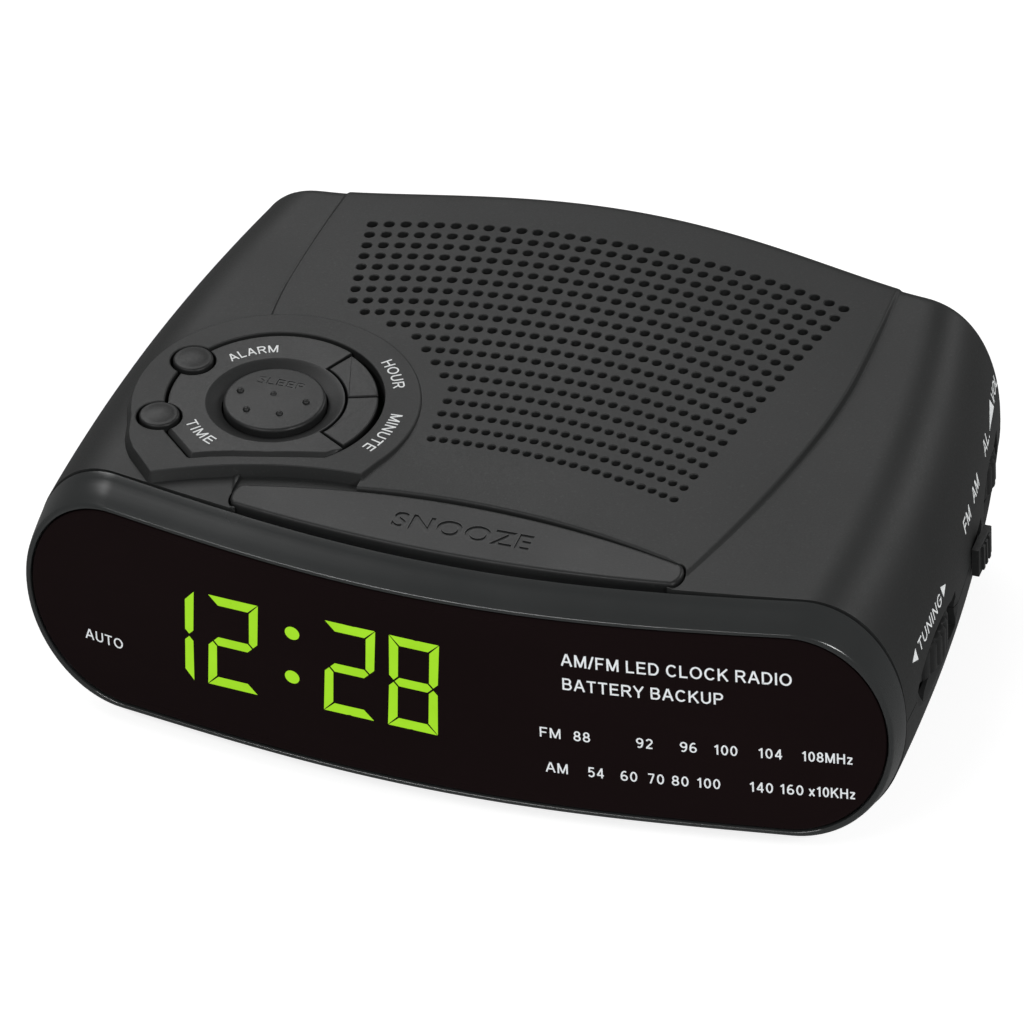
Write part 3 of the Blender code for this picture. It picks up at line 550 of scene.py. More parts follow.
def soft_edge(radius, steps=4):
    """(inset, drop) pairs of a quarter-round edge from the side up to the top."""
    angles = [math.pi / 2 * k / steps for k in range(steps + 1)]
    return [(radius * (1 - math.cos(angle)), radius * (1 - math.sin(angle))) for angle in angles]


# ---- shapes of the case -----------------------------------------------------------------------
def bulge(x):
    s = min(abs(x) / RIM_HALF_WIDTH, 1.0)
    return BULGE * s ** 2 - BULGE_FLAT * s ** 4


def back(x):
    s = min(abs(x) / BACK_HALF_WIDTH, 1.1)
    return DEPTH - BACK_SWEEP * s ** 2 + BACK_FLAT * s ** 4


def between(pair, u):
    return pair[0] + (pair[1] - pair[0]) * u


def half_width(u):
    return BODY_HALF_WIDTH - BODY_TAPER * max(u, 0.0) ** TAPER_POWER


def dome(x, depth):
    drop = 0.5 if depth < DOME_DEPTH else 2.0
    return DOME_TOP - drop * ((depth - DOME_DEPTH) / 50.0) ** 2 - DOME_CROWN * (x / 60.0) ** 2


def crease(depth):
    if depth > 93.0:
        return CREASE - 0.0009 * (depth - 93.0) ** 2
    return CREASE - 0.00906 * (93.0 - depth) ** 1.7


def smooth_step(t):
    t = min(max(t, 0.0), 1.0)
    return t * t * (3.0 - 2.0 * t)


def front_loop(width, height, depth_offset, flat_steps=72, end_steps=26):
    """Front outline as a loop: along the top from left to right, then back along the bottom."""
    flat = width - RIM_END
    columns = [-flat - RIM_END * math.sin(math.pi / 2 * (1 - i / end_steps)) for i in range(end_steps)]
    columns += [-flat + 2 * flat * i / flat_steps for i in range(flat_steps + 1)]
    columns += [flat + RIM_END * math.sin(math.pi / 2 * i / end_steps) for i in range(1, end_steps + 1)]
    upper = []
    lower = []
    for x in columns:
        over = max(abs(x) - flat, 0.0) / RIM_END
        tall = height * math.sqrt(max(1.0 - over ** 2, 0.0))
        waist = RIM_WAIST * (1.0 - min(abs(x) / RIM_HALF_WIDTH, 1.0) ** 2) * min(tall / 10.0, 1.0)
        depth = bulge(x) + depth_offset
        upper.append(point(x, depth, RIM_CENTRE + tall - waist))
        lower.append(point(x, depth, RIM_CENTRE - tall + waist))
    return upper + lower[-2:0:-1]


def loft(loops, closed_ends=True):
    """Join loops of equal length; without closed ends the last loop joins the first."""
    bm = bmesh.new()
    rings = [[bm.verts.new(co) for co in loop] for loop in loops]
    count = len(rings[0])
    skin(bm, rings if closed_ends else rings + rings[:1])
    if closed_ends:
        for ring in (rings[0], rings[-1]):
            half = count // 2
            upper = ring[:half + 1]
            lower = [ring[0]] + ring[:half - 1:-1]
            for i in range(half):
                corners = []
                for vert in (upper[i], upper[i + 1], lower[i + 1], lower[i]):
                    if vert not in corners:
                        corners.append(vert)
                if len(corners) > 2:
                    bm.faces.new(corners)
    return bm


CREASE_WIDTH = 1.0


def half_body(upper, inset, base, rows, end_steps, fine=True):
    """Closed half of the case volume, above or below the parting line."""
    sign = 1.0 if upper else -1.0
    hollow = inset > 0
    stations = []
    for i in range(rows + 1):
        u = i / rows
        if hollow:
            u = -0.08 + 1.08 * u
        stations.append((u, 0.0, 0.0))
    turns = 9 if fine else 3
    for i in range(1, turns + 1):
        angle = math.pi / 2 * i / turns
        stations.append((1.0, BACK_ROUND * math.sin(angle), BACK_ROUND * (1 - math.cos(angle))))
    spans = 26 if fine else 6
    loops = []
    for u, behind, shrink in stations:
        width = half_width(u) - inset - shrink
        level = between(SHOULDER, max(u, 0.0)) if upper else UNDERSIDE
        height = abs(level - PARTING) - inset - shrink
        power = between(TOP_POWER, max(u, 0.0)) if upper else LOW_POWER
        ridge = crease(between((SEAM_BACK + 6.0, DEPTH - 8.0), max(u, 0.0)))
        end = between(TOP_END if upper else LOW_END, max(u, 0.0))
        flat = max(width - end, ridge + CREASE_WIDTH) if upper else width - end
        end = width - flat
        side = []
        for k in range(end_steps + 1):
            angle = math.pi / 2 * k / end_steps
            side.append((flat + end * math.sin(angle) ** (2 / power),
                         height * max(math.cos(angle), 0.0) ** (2 / power)))
        if upper:
            middle = [(ridge - 0.8) * k / spans for k in range(spans + 1)]
            middle += [ridge + CREASE_WIDTH * k / 6 - 0.5 for k in range(7)]
            start = middle[-1]
            middle += [start + (flat - start) * k / 4 for k in range(1, 4)]
        else:
            middle = [flat * k / spans for k in range(spans)]
        right = [(x, None) for x in middle] + side
        points = [(-x, h) for x, h in reversed(right[1:])] + right
        top_line = []
        base_line = []
        for x, h in points:
            start = SEAM_BACK + GAP / 2 + bulge(x)
            depth = start + u * (back(x) - BACK_ROUND - start) + behind
            if hollow:
                depth -= inset * max(u, 0.0)
            z = PARTING + sign * (height if h is None else h)
            if upper and h is None:
                raised = max(z, dome(x, min(depth, DEPTH)) - inset - shrink)
                z += (raised - z) * (1.0 - smooth_step((abs(x) - ridge + 0.5) / CREASE_WIDTH))
            z = max(z, base) if upper else min(z, base)
            top_line.append(point(x, depth, z))
            base_line.append(point(x, depth, base))
        loops.append(top_line + base_line[::-1])
    bm = bmesh.new()
    rings = [[bm.verts.new(co) for co in loop] for loop in loops]
    count = len(rings[0])
    skin(bm, rings)
    for ring in (rings[0], rings[-1]):
        for i in range(count // 2 - 1):
            bm.faces.new((ring[i], ring[i + 1], ring[count - 2 - i], ring[count - 1 - i]))
    return bm


def top_height(x, depth):
    """Height of the finished top surface away from the rounded shoulders."""
    u = (depth - SEAM_BACK - bulge(x)) / (back(x) - BACK_ROUND - SEAM_BACK - bulge(x))
    u = min(max(u, 0.0), 1.0)
    level = between(SHOULDER, u)
    ridge = crease(between((SEAM_BACK + 6.0, DEPTH - 8.0), u))
    raised = max(level, dome(x, depth))
    return level + (raised - level) * (1.0 - smooth_step((abs(x) - ridge + 0.5) / CREASE_WIDTH))


def side_surface(depth, z):
    """x of the right-hand wall at a depth and height above the parting line."""
    x = 90.0
    for _ in range(12):
        start = SEAM_BACK + GAP / 2 + bulge(x)
        u = min(max((depth - start) / (back(x) - BACK_ROUND - start), 0.0), 1.0)
        width = half_width(u)
        height = between(SHOULDER, u) - PARTING
        power = between(TOP_POWER, u)
        ridge = crease(between((SEAM_BACK + 6.0, DEPTH - 8.0), u))
        end = between(TOP_END, u)
        flat = max(width - end, ridge + CREASE_WIDTH)
        ratio = min(max((z - PARTING) / height, 0.0), 1.0)
        x = flat + (width - flat) * (1.0 - ratio ** power) ** (1.0 / power)
    return x


def step_line(x):
    return 26.1 - 6.9 * (x / 50.0) ** 2


def bar_outline(margin):
    """Plan outline of the snooze bar, grown by margin at the ends, the back and the front."""
    reach = BAR_HALF_LENGTH + margin
    front = []
    rear = []
    for i in range(49):
        x = -reach + 2.6 + (2 * reach - 5.2) * i / 48
        front.append((x, 9.0 + 3.5 * (x / 46.0) ** 2 - margin))
        rear.append((x, step_line(x) - 0.5 + margin))
    tip = (front[-1][1] + rear[-1][1]) / 2
    side = (rear[-1][1] - front[-1][1]) / 2
    right = []
    for k in range(1, 12):
        angle = math.pi * (k / 12 - 0.5)
        right.append((reach - 2.6 + 2.6 * math.cos(angle) ** 0.75, tip + side * math.sin(angle)))
    left = [(-x, d) for x, d in reversed(right)]
    return front + right + rear[::-1] + left


def plateau_outline():
    arc_points = arc(PLATEAU_CENTRE, PLATEAU_RADIUS, -26.0, 205.0, 93)
    left = [(-76.1, 27.6), (-75.0, 25.2), (-73.3, 22.6), (-66.9, 15.9)]
    front = [(-24.6 - 42.3 * k / 24, 27.4 - 11.5 * (k / 24) ** 2) for k in range(23, -1, -1)]
    return refine(arc_points + left + front, 2.0, 0.5)


def ledge_outline():
    return [(-49.5, 17.0), (-24.6, 22.0), (-24.6, 31.0), (-49.5, 26.0)]


def disc_outline():
    arc_points = arc(CLUSTER, DISC_RADIUS, -43.0, 203.0, 97)
    front = [(-68.4, 30.2), (-60.8, 23.2), (-56.9, 24.9), (-53.0, 26.2), (-49.1, 27.2), (-44.0, 28.6)]
    front.append((-39.4, 29.9))
    return refine(arc_points + front, 1.5, 0.5)


def sector(inner, outer, start, stop, count=25):
    return arc(CLUSTER, outer, start, stop, count) + arc(CLUSTER, inner, stop, start, count)


def scoop(centre, size):
    bm = bmesh.new()
    bmesh.ops.create_uvsphere(bm, u_segments=48, v_segments=24, radius=1.0)
    shape = Matrix.Translation(point(*centre)) @ Matrix.Diagonal((*size, 1.0))
    bmesh.ops.transform(bm, matrix=shape, verts=bm.verts)
    return bm


def side_openings(case):
    carve(case, scoop((TUNING_AXIS[0] + 20.6, TUNING_AXIS[1], PARTING), (3.4, 19.0, 7.0)))
    carve(case, scoop((VOLUME_AXIS[0] + 13.2, VOLUME_AXIS[1], PARTING), (3.0, 14.0, 6.6)))
    for axis, reach in ((TUNING_AXIS, 13.0), (VOLUME_AXIS, 10.5)):
        carve(case, box(83.0 if reach > 12 else 78.0, 100.0, axis[1] - reach, axis[1] + reach,
                        WHEEL_LOW - 0.6, WHEEL_HIGH + 0.6))
    for side in (-1, 1):
        x0, x1 = sorted((side * 82.0, side * 99.0))
        carve(case, box(x0, x1, SWITCH_DEPTH - 6.2, SWITCH_DEPTH + 6.2, PARTING - 2.2, PARTING + 2.2))


def cutter(outline, lip=0.5, floor=56.0, surface=None, steps=4, weights=None):
    """Cutter through the top whose upper edge flares, which leaves a rounded edge on the opening."""
    surface = surface or top_height
    weights = weights or [1.0] * len(outline)
    levels = [(outline, floor)]
    for inset, drop in soft_edge(lip, steps):
        edge = blend(outline, grow(outline, inset), weights)
        levels.append((edge, lambda x, d, drop=drop: surface(x, d) - drop))
    levels.append((blend(outline, grow(outline, lip * 1.02), weights), 72.0))
    return stack(levels)


GRILLE_ROWS = 19
GRILLE_COLUMNS = 31
HOLE_RADIUS = (1.14, 0.87)      # the holes get smaller towards the front, like their spacing
HOLE_LIP = 0.2


def grille_places():
    """Centres of the speaker holes: fanned columns and bowed rows, clear of the button cluster."""
    places = []
    for row in range(GRILLE_ROWS):
        t = row / (GRILLE_ROWS - 1)
        reach = 52.7 - 13.75 * t
        bow = 9.4 + 2.7 * t
        for column in range(GRILLE_COLUMNS):
            x = 0.4 + 0.2 * t + reach * (2 * column / (GRILLE_COLUMNS - 1) - 1)
            depth = 119.5 - 4.0 * row - 3.1 * t ** 2 - bow * (x / 60.0) ** 2
            if math.hypot(x - CLUSTER[0], depth - CLUSTER[1]) > 35.0:
                places.append((x, depth, between(HOLE_RADIUS, t)))
    return places


def grille_cutter():
    """All speaker holes as one cutter; each widens at the surface, which leaves a chamfered rim."""
    bm = bmesh.new()
    sides = 16
    for x, depth, narrow in grille_places():
        surface = top_height(x, depth)
        wide = narrow + HOLE_LIP
        rings = []
        for radius, z in ((narrow, 58.0), (narrow, surface - HOLE_LIP), (wide, surface), (wide, 68.0)):
            rings.append([bm.verts.new(point(a, b, z)) for a, b in circle((x, depth), radius, sides)])
        bm.faces.new(rings[0][::-1])
        bm.faces.new(rings[-1])
        skin(bm, rings)
    return bm


def plateau():
    """Raised island of the clock buttons, with a sloping wall and a small round along its upper edge."""
    outline = plateau_outline()
    levels = [(grow(outline, 0.9), PLATEAU_BASE), (grow(outline, 0.85), 62.4)]
    for inset, drop in soft_edge(0.35, 5):
        levels.append((grow(outline, -inset), PLATEAU_TOP - drop))
    return stack(levels)


def top_shell():
    case = solid(half_body(True, 0.0, PARTING + GAP / 2, 56, 26), "top_shell")
    carve(case, half_body(True, WALL, PARTING - 3.0, 20, 12, False))
    carve(case, prism(ledge_outline(), PLATEAU_BASE + GAP, LEDGE + 0.5), "UNION")
    carve(case, prism(ledge_outline(), LEDGE, 70.0))
    carve(case, plateau(), "UNION")
    flat_top = lambda x, d: PLATEAU_TOP
    carve(case, cutter(grow(disc_outline(), DISC_GROOVE), 0.3, surface=flat_top))
    for centre in ROUND_BUTTONS.values():
        carve(case, cutter(circle(centre, ROUND_BUTTON_RADIUS + 0.6, 48), 0.3, surface=flat_top))
    recess = bar_outline(0.3)
    sharper_ends = [0.25 + 0.75 * smooth_step((47.5 - abs(x)) / 5.0) for x, d in recess]
    carve(case, cutter(recess, 0.7, weights=sharper_ends))
    carve(case, box(-BAR_HALF_LENGTH + 2.0, BAR_HALF_LENGTH - 2.0, 4.0, 13.0, 56.0, 70.0))
    carve(case, grille_cutter())
    for centre in SCREWS:
        carve(case, post(centre, 4.0, PARTING + GAP / 2, 61.3), "UNION")
        carve(case, post(centre, 1.8, PARTING - 1.0, 47.0))
    side_openings(case)
    place(case, "case", "case_plastic", ["top_case"])


def gland_place():
    x = -64.0
    slope = back(x - 0.5) - back(x + 0.5)
    return (x, back(x) - 1.0, 15.0), (slope, 1.0, 0.0)


def bottom_shell():
    case = solid(half_body(False, 0.0, PARTING - GAP / 2, 48, 24), "bottom_shell")
    carve(case, half_body(False, WALL, PARTING + 3.0, 16, 10, False))
    left, right, near, far = BAY
    carve(case, box(left - 1.8, right + 1.8, near - 1.8, far + 1.8, 4.0, BAY_TOP + 1.8), "UNION")
    carve(case, box(left, right, near, far, -1.0, BAY_TOP))
    for centre in SCREWS:
        carve(case, post(centre, 4.2, 4.0, PARTING - GAP / 2), "UNION")
        carve(case, post(centre, 3.4, -1.0, 9.0))
        carve(case, post(centre, 1.8, 5.0, 40.0))
    for centre in FEET:
        carve(case, post(centre, 6.3, -1.0, 4.0, 40))
    side_openings(case)
    hole = lathe((0.0, DEPTH / 2), [(0, -8), (3.6, -8), (3.6, 8), (0, 8)], 32)
    carve(case, turn(hole, *gland_place()))
    place(case, "case", "case_plastic", ["bottom_case"])


def bezel():
    sections = [(0.0, 0.05, 0.75), (-0.04, -0.04, 0.45), (-0.17, -0.17, 0.2), (-0.36, -0.36, 0.05),
                (-0.6, -0.6, 0.0), (-0.9, -0.9, 0.06), (-1.1, -1.1, 0.25),
                (-1.2, -1.2, 0.6), (-1.2, -1.2, 2.6), (-4.0, -4.0, 2.6),
                (-4.0, -4.0, SEAM_BACK - 0.2), (0.2, SEAM_RISE - 0.1, SEAM_BACK - 0.2),
                (0.38, SEAM_RISE, SEAM_BACK - 0.45), (0.38, 2.72, 7.0), (0.36, 2.32, 6.1), (0.35, 2.1, 5.7),
                (0.3, 1.7, 4.6), (0.2, 1.1, 3.0), (0.1, 0.5, 1.6)]
    loops = [front_loop(RIM_HALF_WIDTH + w, RIM_HALF_HEIGHT + h, d) for w, h, d in sections]
    place(solid(loft(loops, closed_ends=False), "bezel"), "case", "bezel_gloss", ["front_bezel"])


def lens():
    sections = [(-1.5, 2.3), (-1.5, 0.75), (-1.56, 0.5), (-1.75, 0.35), (-2.0, 0.3), (-3.3, 0.3),
                (-3.42, 0.34), (-3.54, 0.3)]
    loops = [front_loop(RIM_HALF_WIDTH + w, RIM_HALF_HEIGHT + w, d) for w, d in sections]
    place(solid(loft(loops), "lens"), "case", "lens_smoke", ["display_lens"])


# ---- buttons ----------------------------------------------------------------------------------
def cushion(outline, low, top, radius):
    """Button cap over a plan outline with a quarter-round upper edge."""
    levels = [(outline, low)]
    for inset, drop in soft_edge(radius, 5):
        levels.append((grow(outline, -inset), top - drop))
    return stack(levels)


def disc():
    """Inner panel of the cluster, with a broad chamfer along its front."""
    outline = disc_outline()
    front = [smooth_step((34.5 - d) / 2.5) for x, d in outline]

    def inset(side, nose):
        return blend(grow(outline, -side), [(x, d + nose) for x, d in outline], front)

    levels = [(inset(0.0, 0.2), 62.1), (inset(0.0, 0.2), 63.6), (inset(0.05, 0.4), 63.8),
              (inset(0.15, 1.35), DISC_TOP - 0.08), (inset(0.35, 1.7), DISC_TOP)]
    made = solid(stack(levels), "control_panel")
    dish = [(0, 62.9), (SLEEP_RADIUS + 0.4, 62.9), (DISH_RADIUS - 0.9, DISC_TOP - 0.35),
            (DISH_RADIUS - 0.2, DISC_TOP - 0.06), (DISH_RADIUS + 0.2, DISC_TOP + 0.03),
            (DISH_RADIUS + 0.2, 70.0), (0, 70.0)]
    carve(made, lathe(CLUSTER, dish, 96))
    carve(made, post(CLUSTER, SLEEP_RADIUS + 0.4, 56.0, 70.0, 96))
    flat_top = lambda x, d: DISC_TOP
    keys = sector(KEY_INNER - 0.5, DISC_RADIUS + 4.0, *KEY_OPENING, 33)
    carve(made, cutter(keys, 0.15, surface=flat_top))
    for centre in ROUND_BUTTONS.values():
        carve(made, cutter(circle(centre, ROUND_BUTTON_RADIUS + 0.5, 48), 0.3, surface=flat_top))
    place(made, "case", "button_plastic", ["control_disc"])


STEM_LOW = 57.5
BUMPS = [(-58.2, 46.8), (-51.1, 47.5), (-43.7, 46.9), (-54.8, 41.1), (-47.7, 41.6)]


def crown(radius, rise, steps=6):
    """(radius, height above the rim) points of a shallow domed top, from the rim to the middle."""
    return [(radius * (1 - k / steps), rise * (1 - (1 - k / steps) ** 2)) for k in range(steps + 1)]


def stem(button, centre, high=61.0):
    carve(button, post(centre, 1.8, STEM_LOW, high, 20), "UNION")


def sleep_key():
    radius = SLEEP_RADIUS
    profile = [(0, 58.4), (12.4, 58.4), (12.4, 59.8), (radius, 59.8)]
    rim = 64.75
    for inset, drop in soft_edge(0.75, 6):
        profile.append((radius - inset, rim - drop))
    profile += [(r, rim + h) for r, h in crown(radius - 0.95, 0.45, 8)]
    made = solid(lathe(CLUSTER, profile, 96), "sleep_cap")
    for x, depth in BUMPS:
        bump = [(0, 64.4), (0.85, 64.4), (0.8, 65.1), (0.6, 65.42), (0.3, 65.6), (0, 65.65)]
        carve(made, lathe((x, depth), bump, 16), "UNION")
    stem(made, CLUSTER)
    letters = words("SLEEP", 10.2, 2.3, spacing=1.05)
    carve(made, engraving(letters, (-50.9, 51.7), 64.85, 68.0))
    place(made, "sleep_button", "button_plastic", ["sleep_button"])


def round_keys():
    for name, centre in ROUND_BUTTONS.items():
        radius = ROUND_BUTTON_RADIUS
        profile = [(0, 57.9), (radius + 0.9, 57.9), (radius + 0.9, 58.8), (radius, 58.8)]
        for inset, drop in soft_edge(0.6, 5):
            profile.append((radius - inset, 65.2 - drop))
        profile += [(r, 65.2 + h) for r, h in crown(radius - 0.75, 0.5, 6)]
        made = solid(lathe(centre, profile, 56), name.replace("button", "cap"))
        stem(made, centre)
        place(made, name, "button_plastic", [name])


def key_centre(start, stop):
    angle = math.radians((start + stop) / 2)
    reach = (KEY_INNER + KEY_OUTER) / 2
    return (CLUSTER[0] + reach * math.cos(angle), CLUSTER[1] + reach * math.sin(angle))


def arc_keys():
    for name, (start, stop) in KEY_ANGLES.items():
        outline = refine(sector(KEY_INNER, KEY_OUTER, start + 0.7, stop - 0.7), 1.5, 0.5)
        made = solid(cushion(outline, 59.0, KEY_TOP, 0.3), name.replace("button", "cap"))
        stem(made, key_centre(start, stop))
        place(made, name, "button_plastic", [name])


def snooze_bar():
    outline = bar_outline(0.0)
    levels = [(outline, 58.6)]
    for inset, drop in soft_edge(0.8, 6):
        levels.append((grow(outline, -inset), BAR_TOP - drop))
    made = solid(stack(levels), "snooze_cap")
    for side in (-1, 1):
        x0, x1 = sorted((side * 46.0, side * 51.0))
        carve(made, box(x0, x1, 14.5, 18.0, 58.6, 59.9), "UNION")
    stem(made, (-30.0, 17.5))
    outer = words("SNOOZE", 30.0, 5.0, weight=0.02, spacing=1.1)
    carve(made, engraving(outer, (1.0, 17.2), BAR_TOP - 0.3, BAR_TOP + 2.0))
    place(made, "snooze_button", "button_plastic", ["snooze_button"])


# ---- lettering --------------------------------------------------------------------------------
def words(text, width, height, weight=0.0, spacing=1.0):
    """Flat letters in millimetres, centred, with the height of the capitals and the width of the line."""
    curve = bpy.data.curves.new("words", "FONT")
    curve.body = text
    curve.size = 1.0
    curve.offset = weight
    curve.space_character = spacing
    curve.resolution_u = 5
    holder = add_object("words", curve)
    bpy.context.view_layer.update()
    depsgraph = bpy.context.evaluated_depsgraph_get()
    mesh = bpy.data.meshes.new_from_object(holder.evaluated_get(depsgraph))
    bpy.data.objects.remove(holder, do_unlink=True)
    bm = bmesh.new()
    bm.from_mesh(mesh)
    bmesh.ops.remove_doubles(bm, verts=bm.verts, dist=1e-5)
    xs = [v.co.x for v in bm.verts]
    ys = [v.co.y for v in bm.verts]
    middle = ((min(xs) + max(xs)) / 2, (min(ys) + max(ys)) / 2)
    scale_x = width / (max(xs) - min(xs)) if width else height / (max(ys) - min(ys))
    scale_y = height / (max(ys) - min(ys))
    for vert in bm.verts:
        vert.co = Vector(((vert.co.x - middle[0]) * scale_x, (vert.co.y - middle[1]) * scale_y, 0.0))
    return bm


def engraving(bm, centre, low, high):
    """Upright solid letters for a cut, read from the front."""
    for vert in bm.verts:
        vert.co = point(centre[0] + vert.co.x, centre[1] + vert.co.y, low)
    made = bmesh.ops.extrude_face_region(bm, geom=bm.faces[:])
    raised = [item for item in made["geom"] if isinstance(item, bmesh.types.BMVert)]
    bmesh.ops.translate(bm, verts=raised, vec=(0, 0, high - low))
    return bm


STROKE_HALF = 0.066      # half the stroke of the printed letters, for capitals one unit tall
LETTER_GAP = 0.15


def bow(x, y, across, tall, start, stop, count=13):
    """Points of part of an ellipse, for the round strokes of a letter."""
    angles = [math.radians(start + (stop - start) * i / (count - 1)) for i in range(count)]
    return [(x + across * math.cos(angle), y + tall * math.sin(angle)) for angle in angles]


def ring(x, y, across, tall):
    return bow(x, y, across, tall, 0.0, 360.0, 29)


# Width and strokes of each letter; capitals are one unit tall.
LOW, HIGH, MID = 0.066, 0.934, 0.5
LETTERS = {
    "A": (0.72, [[(0.04, 0), (0.345, 1.0)], [(0.375, 1.0), (0.68, 0)], [(0.14, 0.34), (0.58, 0.34)]]),
    "B": (0.65, [[(0.08, LOW), (0.08, HIGH), (0.36, HIGH)] + bow(0.38, 0.73, 0.17, 0.208, 90, -90)
                 + [(0.08, 0.52)], [(0.36, 0.52)] + bow(0.38, 0.291, 0.21, 0.229, 90, -90) + [(0.03, LOW)]]),
    "C": (0.71, [bow(0.38, MID, 0.31, 0.438, 42, 318, 25)]),
    "D": (0.70, [[(0.08, LOW), (0.08, HIGH), (0.30, HIGH)] + bow(0.31, MID, 0.32, 0.438, 90, -90, 21)
                 + [(0.03, LOW)]]),
    "E": (0.62, [[(0.60, HIGH), (0.08, HIGH), (0.08, LOW), (0.61, LOW)], [(0.08, 0.52), (0.56, 0.52)]]),
    "F": (0.58, [[(0.57, HIGH), (0.08, HIGH), (0.08, 0)], [(0.08, 0.49), (0.50, 0.49)]]),
    "G": (0.76, [bow(0.39, MID, 0.32, 0.438, 45, 318, 25) + [(0.68, 0.46), (0.42, 0.46)]]),
    "H": (0.70, [[(0.08, 0), (0.08, 1)], [(0.62, 0), (0.62, 1)], [(0.08, 0.53), (0.62, 0.53)]]),
    "I": (0.16, [[(0.08, 0), (0.08, 1)]]),
    "K": (0.68, [[(0.08, 0), (0.08, 1)], [(0.62, 1), (0.10, 0.40)], [(0.27, 0.60), (0.65, 0)]]),
    "L": (0.55, [[(0.08, 1), (0.08, LOW), (0.54, LOW)]]),
    "M": (0.82, [[(0.08, 0), (0.08, 1)], [(0.10, 0.98), (0.41, 0.04)], [(0.41, 0.04), (0.72, 0.98)],
                 [(0.74, 1), (0.74, 0)]]),
    "N": (0.70, [[(0.08, 0), (0.08, 1)], [(0.08, 0.96), (0.62, 0.04)], [(0.62, 0), (0.62, 1)]]),
    "O": (0.78, [ring(0.39, MID, 0.33, 0.438)]),
    "P": (0.64, [[(0.08, 0), (0.08, HIGH), (0.36, HIGH)] + bow(0.38, 0.70, 0.20, 0.238, 90, -90)
                 + [(0.08, 0.462)]]),
    "R": (0.69, [[(0.08, 0), (0.08, HIGH), (0.38, HIGH)] + bow(0.40, 0.71, 0.20, 0.228, 90, -90)
                 + [(0.08, 0.482)], [(0.38, 0.482), (0.65, 0)]]),
    "T": (0.62, [[(0.0, HIGH), (0.62, HIGH)], [(0.31, HIGH), (0.31, 0)]]),
    "U": (0.68, [[(0.08, 1)] + bow(0.34, 0.33, 0.26, 0.268, 180, 360) + [(0.60, 1)]]),
    "V": (0.66, [[(0.03, 1), (0.315, 0)], [(0.345, 0), (0.63, 1)]]),
    "Y": (0.66, [[(0.02, 1), (0.33, 0.45)], [(0.64, 1), (0.33, 0.45)], [(0.33, 0.5), (0.33, 0)]]),
    "x": (0.48, [[(0.03, 0.72), (0.45, 0)], [(0.45, 0.72), (0.03, 0)]]),
    "z": (0.47, [[(0.03, 0.66), (0.44, 0.66)], [(0.42, 0.64), (0.06, 0.06)], [(0.03, LOW), (0.46, LOW)]]),
    "/": (0.28, [[(0.0, -0.02), (0.28, 1.02)]]),
    ".": (0.14, [[(0.07, 0), (0.07, 0.14)]]),
    " ": (0.16, []),
    "0": (0.56, [ring(0.28, MID, 0.21, 0.438)]),
    "1": (0.42, [[(0.09, 0.74), (0.30, 0.93)], [(0.30, 1), (0.30, 0)]]),
    "2": (0.56, [bow(0.28, 0.70, 0.20, 0.238, 165, -30) + [(0.07, 0.07)], [(0.04, LOW), (0.52, LOW)]]),
    "4": (0.58, [[(0.41, 0), (0.41, 1)], [(0.40, 0.97), (0.07, 0.31)], [(0.03, 0.28), (0.56, 0.28)]]),
    "5": (0.56, [[(0.50, HIGH), (0.14, HIGH), (0.105, 0.46)], bow(0.27, 0.33, 0.22, 0.268, 137, -150, 15)]),
    "6": (0.56, [ring(0.28, 0.30, 0.21, 0.238), bow(0.31, 0.45, 0.24, 0.488, 60, 195)]),
    "7": (0.54, [[(0.04, HIGH), (0.50, HIGH)], [(0.47, 0.93), (0.20, 0)]]),
    "8": (0.56, [ring(0.28, 0.72, 0.18, 0.218), ring(0.28, 0.282, 0.215, 0.22)]),
    "9": (0.56, [ring(0.28, 0.70, 0.21, 0.238), bow(0.25, 0.55, 0.24, 0.488, 15, -120)]),
}


def strip(points, half):
    """Flat ribbon of constant width along a line of points."""
    bm = bmesh.new()
    sides = []
    for i, here in enumerate(points):
        before = Vector(points[max(i - 1, 0)])
        after = Vector(points[min(i + 1, len(points) - 1)])
        here = Vector(here)
        a = (here - before).normalized() if i else (after - here).normalized()
        b = (after - here).normalized() if i < len(points) - 1 else a
        across = Vector((-a.y - b.y, a.x + b.x))
        across *= min(2.0 / across.length_squared, 1.6) * half if across.length_squared > 1e-6 else 0.0
        sides.append([bm.verts.new((*(here + across), 0.0)), bm.verts.new((*(here - across), 0.0))])
    for one, two in zip(sides, sides[1:]):
        bm.faces.new((one[0], two[0], two[1], one[1]))
    return bm


def lettering(text, width, height):
    """Ribbons of a line of letters, centred, in millimetres; width 0 keeps the letters' own width."""
    lines = []
    reach = 0.0
    for letter in text:
        wide, strokes = LETTERS[letter]
        lines += [[(reach + x, y) for x, y in stroke] for stroke in strokes]
        reach += wide + LETTER_GAP
    reach -= LETTER_GAP
    stretch = width / reach if width else height
    ribbons = []
    for line in lines:
        placed = [((x - reach / 2) * stretch, (y - 0.5) * height) for x, y in line]
        ribbons.append(strip(placed, STROKE_HALF * height))
    return ribbons


def flat_shape(points):
    bm = bmesh.new()
    bm.faces.new([bm.verts.new((x, y, 0.0)) for x, y in points])
    return bm


INK_THICKNESS = 0.05
INK_STEP = 0.002         # crossing strokes differ by this much in height, so that they don't coincide


def printed(bm, surface, thickness=INK_THICKNESS):
    """Thin slab of ink: surface turns each flat point into a place and an outward direction."""
    made = bmesh.ops.extrude_face_region(bm, geom=bm.faces[:])
    raised = {item for item in made["geom"] if isinstance(item, bmesh.types.BMVert)}
    for vert in bm.verts:
        where, out = surface(vert.co.x, vert.co.y)
        vert.co = where + out * (thickness if vert in raised else -thickness)
    return bm


def print_words(text, width, height, surface):
    return [printed(ribbon, surface, INK_THICKNESS + INK_STEP * (i % 12))
            for i, ribbon in enumerate(lettering(text, width, height))]


